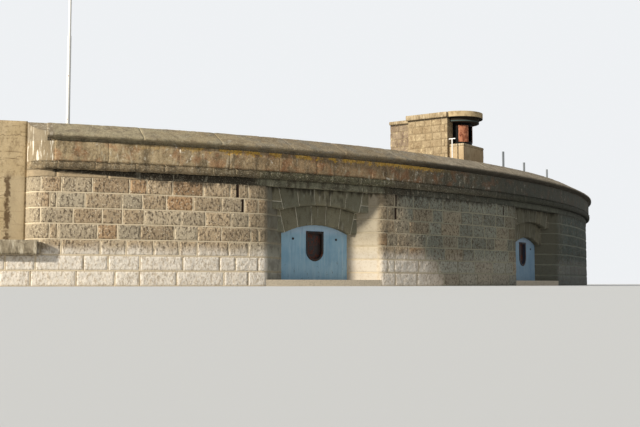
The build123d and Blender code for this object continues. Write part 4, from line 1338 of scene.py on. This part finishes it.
def dress_lookout():
    """Blockwork of the lookout and the worn edges of its slabs."""
    slot = "lookout_render"
    tower_low, tower_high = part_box("lookout_tower")
    base_low, base_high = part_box("lookout_base")
    drum_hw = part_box("lookout_drum")[1][0]
    tower = three_sides(tower_high[0], tower_high[1], tower_low[1])
    middle = tower.total / 2
    holes = [(middle - drum_hw, middle + drum_hw, base_high[2], tower_high[2]),
             (middle - base_high[0], middle + base_high[0], 0, base_high[2])]
    lay_side("tower_blocks", tower, tower.lengths[1:-1], (ROOF_Z, tower_high[2]), BLOCK_H, BLOCK, BLOCK_WORK,
             LOOKOUT, LOOKOUT_JOINT, slot, holes)
    low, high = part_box("lookout_rear_block")
    block = three_sides(-high[0], low[1], high[1])
    middle = block.total / 2
    lay_side("rear_block_blocks", block, block.lengths[1:-1], (ROOF_Z, high[2]), BLOCK_H, BLOCK, BLOCK_WORK,
             LOOKOUT_REAR, LOOKOUT_JOINT, slot,
             [(middle - REAR_DOOR_HW, middle + REAR_DOOR_HW, 0, ROOF_Z + REAR_DOOR_H)])
    base = three_sides(base_high[0], tower_low[1], base_low[1])
    cap = base_high[2] - BASE_CAP_H
    lay_sheet("base_render", base, (ROOF_Z, cap), BASE_WORK, BASE, slot)
    lay_sheet("base_cap_edge", base, (cap, base_high[2]), CAP_WORK, SLAB_CAP, slot)
    for name, node in (("tower_slab_edge", "lookout_tower_slab"), ("rear_slab_edge", "lookout_rear_slab")):
        low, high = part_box(node)
        corners = [(high[0], high[1]), (low[0], high[1]), (low[0], low[1]), (high[0], low[1])]
        lay_sheet(name, Path([*corners, corners[0]]), (low[2], high[2]), SLAB_WORK, SLAB_CAP, slot)


# Finish of the CAD nodes that stay in view.
NODE_FINISHES = {
    "front_wall": POINTING, "rear_wall": POINTING, "end_wall": POINTING, "end_plinth": POINTING,
    "outer_arch": VOUSSOIR, "inner_arch": VOUSSOIR, "rear_arch": SMOOTH, "embrasure_sills": SMOOTH,
    "shield": SHIELD, "port_plates": PORT, "lintel_band": BAND, "cordon": CORDON, "parapet": PARAPET,
    "parapet_posts": GREY, "coping": COPING, "roof_slab": ROOF, "floor_slab": FLOOR, "end_pier": PIER,
    "end_ledge": LEDGE, "lookout_rear_block": LOOKOUT_JOINT, "lookout_rear_slab": SLAB_CAP,
    "lookout_tower": LOOKOUT_JOINT, "lookout_tower_slab": SLAB_CAP, "lookout_base": BASE,
    "lookout_drum": DRUM, "lookout_shutters": SHUTTER, "lookout_bow_roof": BOW_ROOF,
    "handrail": WHITE, "flagpole": WHITE,
}


def finish_nodes():
    """Give every CAD node its material: the longest matching name wins."""
    for name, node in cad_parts.items():
        key = max((k for k in NODE_FINISHES if name.startswith(k)), key=len)
        node.data.materials.clear()
        node.data.materials.append(NODE_FINISHES[key])


# Camera, floor and light.

CAMERA_AT = (-25.357, CENTRE_Y - 64.958 * M, 0.05)
CAMERA_AHEAD = (0.81815, 0.57501)
CAMERA_PITCH = radians(4.2432)
CAMERA_LENS = 53.36
SUN_TURN = radians(-103.3)
SUN_RISE = radians(20.5)
LAMP_AWAY = 30
FLOOR_REACH = 250
ROOM_LIGHT = (0.32, 0.34, 0.37, 1)
BACKDROP = (0.86, 0.88, 0.9, 1)


def set_camera():
    """The photograph's view, low and from the left."""
    data = bpy.data.cameras.new("camera")
    data.lens = CAMERA_LENS
    data.sensor_width = 36
    data.clip_end = 500
    camera = put("camera", data)
    camera.location = CAMERA_AT
    ahead = Vector((*(part * cos(CAMERA_PITCH) for part in CAMERA_AHEAD), sin(CAMERA_PITCH)))
    camera.rotation_euler = ahead.to_track_quat("-Z", "Y").to_euler()
    bpy.context.scene.camera = camera


def add_sun(name, turn, rise, strength, angle, colour):
    """A soft lamp far away, at a turn from the front axis and a rise over the floor."""
    data = bpy.data.lights.new(name, "SUN")
    data.energy = strength
    data.angle = radians(angle)
    data.color = colour
    lamp = put(name, data)
    towards = Vector((sin(turn) * cos(rise), -cos(turn) * cos(rise), sin(rise)))
    lamp.rotation_euler = (-towards).to_track_quat("-Z", "Y").to_euler()
    lamp.location = towards * LAMP_AWAY


def set_light():
    """A soft key from the left, a weak fill and a pale room."""
    add_sun("key", SUN_TURN, SUN_RISE, 5.8, 3, (1.0, 0.95, 0.86))
    add_sun("fill", radians(25), radians(40), 0.15, 60, (0.9, 0.95, 1.0))
    world = bpy.data.worlds.new("room")
    world.use_nodes = True
    tree = world.node_tree
    background = tree.nodes["Background"]
    rays = tree.nodes.new("ShaderNodeLightPath")
    seen = rays.outputs["Is Camera Ray"]
    for kind in ("Is Glossy Ray", "Is Transmission Ray"):
        either = tree.nodes.new("ShaderNodeMath")
        either.operation = "MAXIMUM"
        tree.links.new(seen, either.inputs[0])
        tree.links.new(rays.outputs[kind], either.inputs[1])
        seen = either.outputs[0]
    colour = tree.nodes.new("ShaderNodeMix")
    colour.data_type = "RGBA"
    colour.inputs[6].default_value = ROOM_LIGHT
    colour.inputs[7].default_value = BACKDROP
    tree.links.new(seen, colour.inputs[0])
    tree.links.new(colour.outputs[2], background.inputs["Color"])
    bpy.context.scene.world = world


def set_floor():
    """A pale floor under everything."""
    mesh = bpy.data.meshes.new("studio_floor")
    corners = [(x * FLOOR_REACH, y * FLOOR_REACH, 0) for x, y in ((-1, -1), (1, -1), (1, 1), (-1, 1))]
    mesh.from_pydata(corners, [], [(0, 1, 2, 3)])
    floor = put("studio_floor", mesh)
    f = Finish("floor_paper", roughness=0.95, specular=0.1)
    f.colour = f.mix(f.noise(6.0, 2.0), (0.62, 0.62, 0.6, 1), (0.64, 0.64, 0.63, 1))
    mesh.materials.append(f.done())


set_camera()
finish_nodes()
dress_front()
dress_mouldings()
dress_rear()
dress_ends()
dress_lookout()
dress_shields()
set_light()
set_floor()
bpy.context.scene.view_settings.view_transform = "Standard"
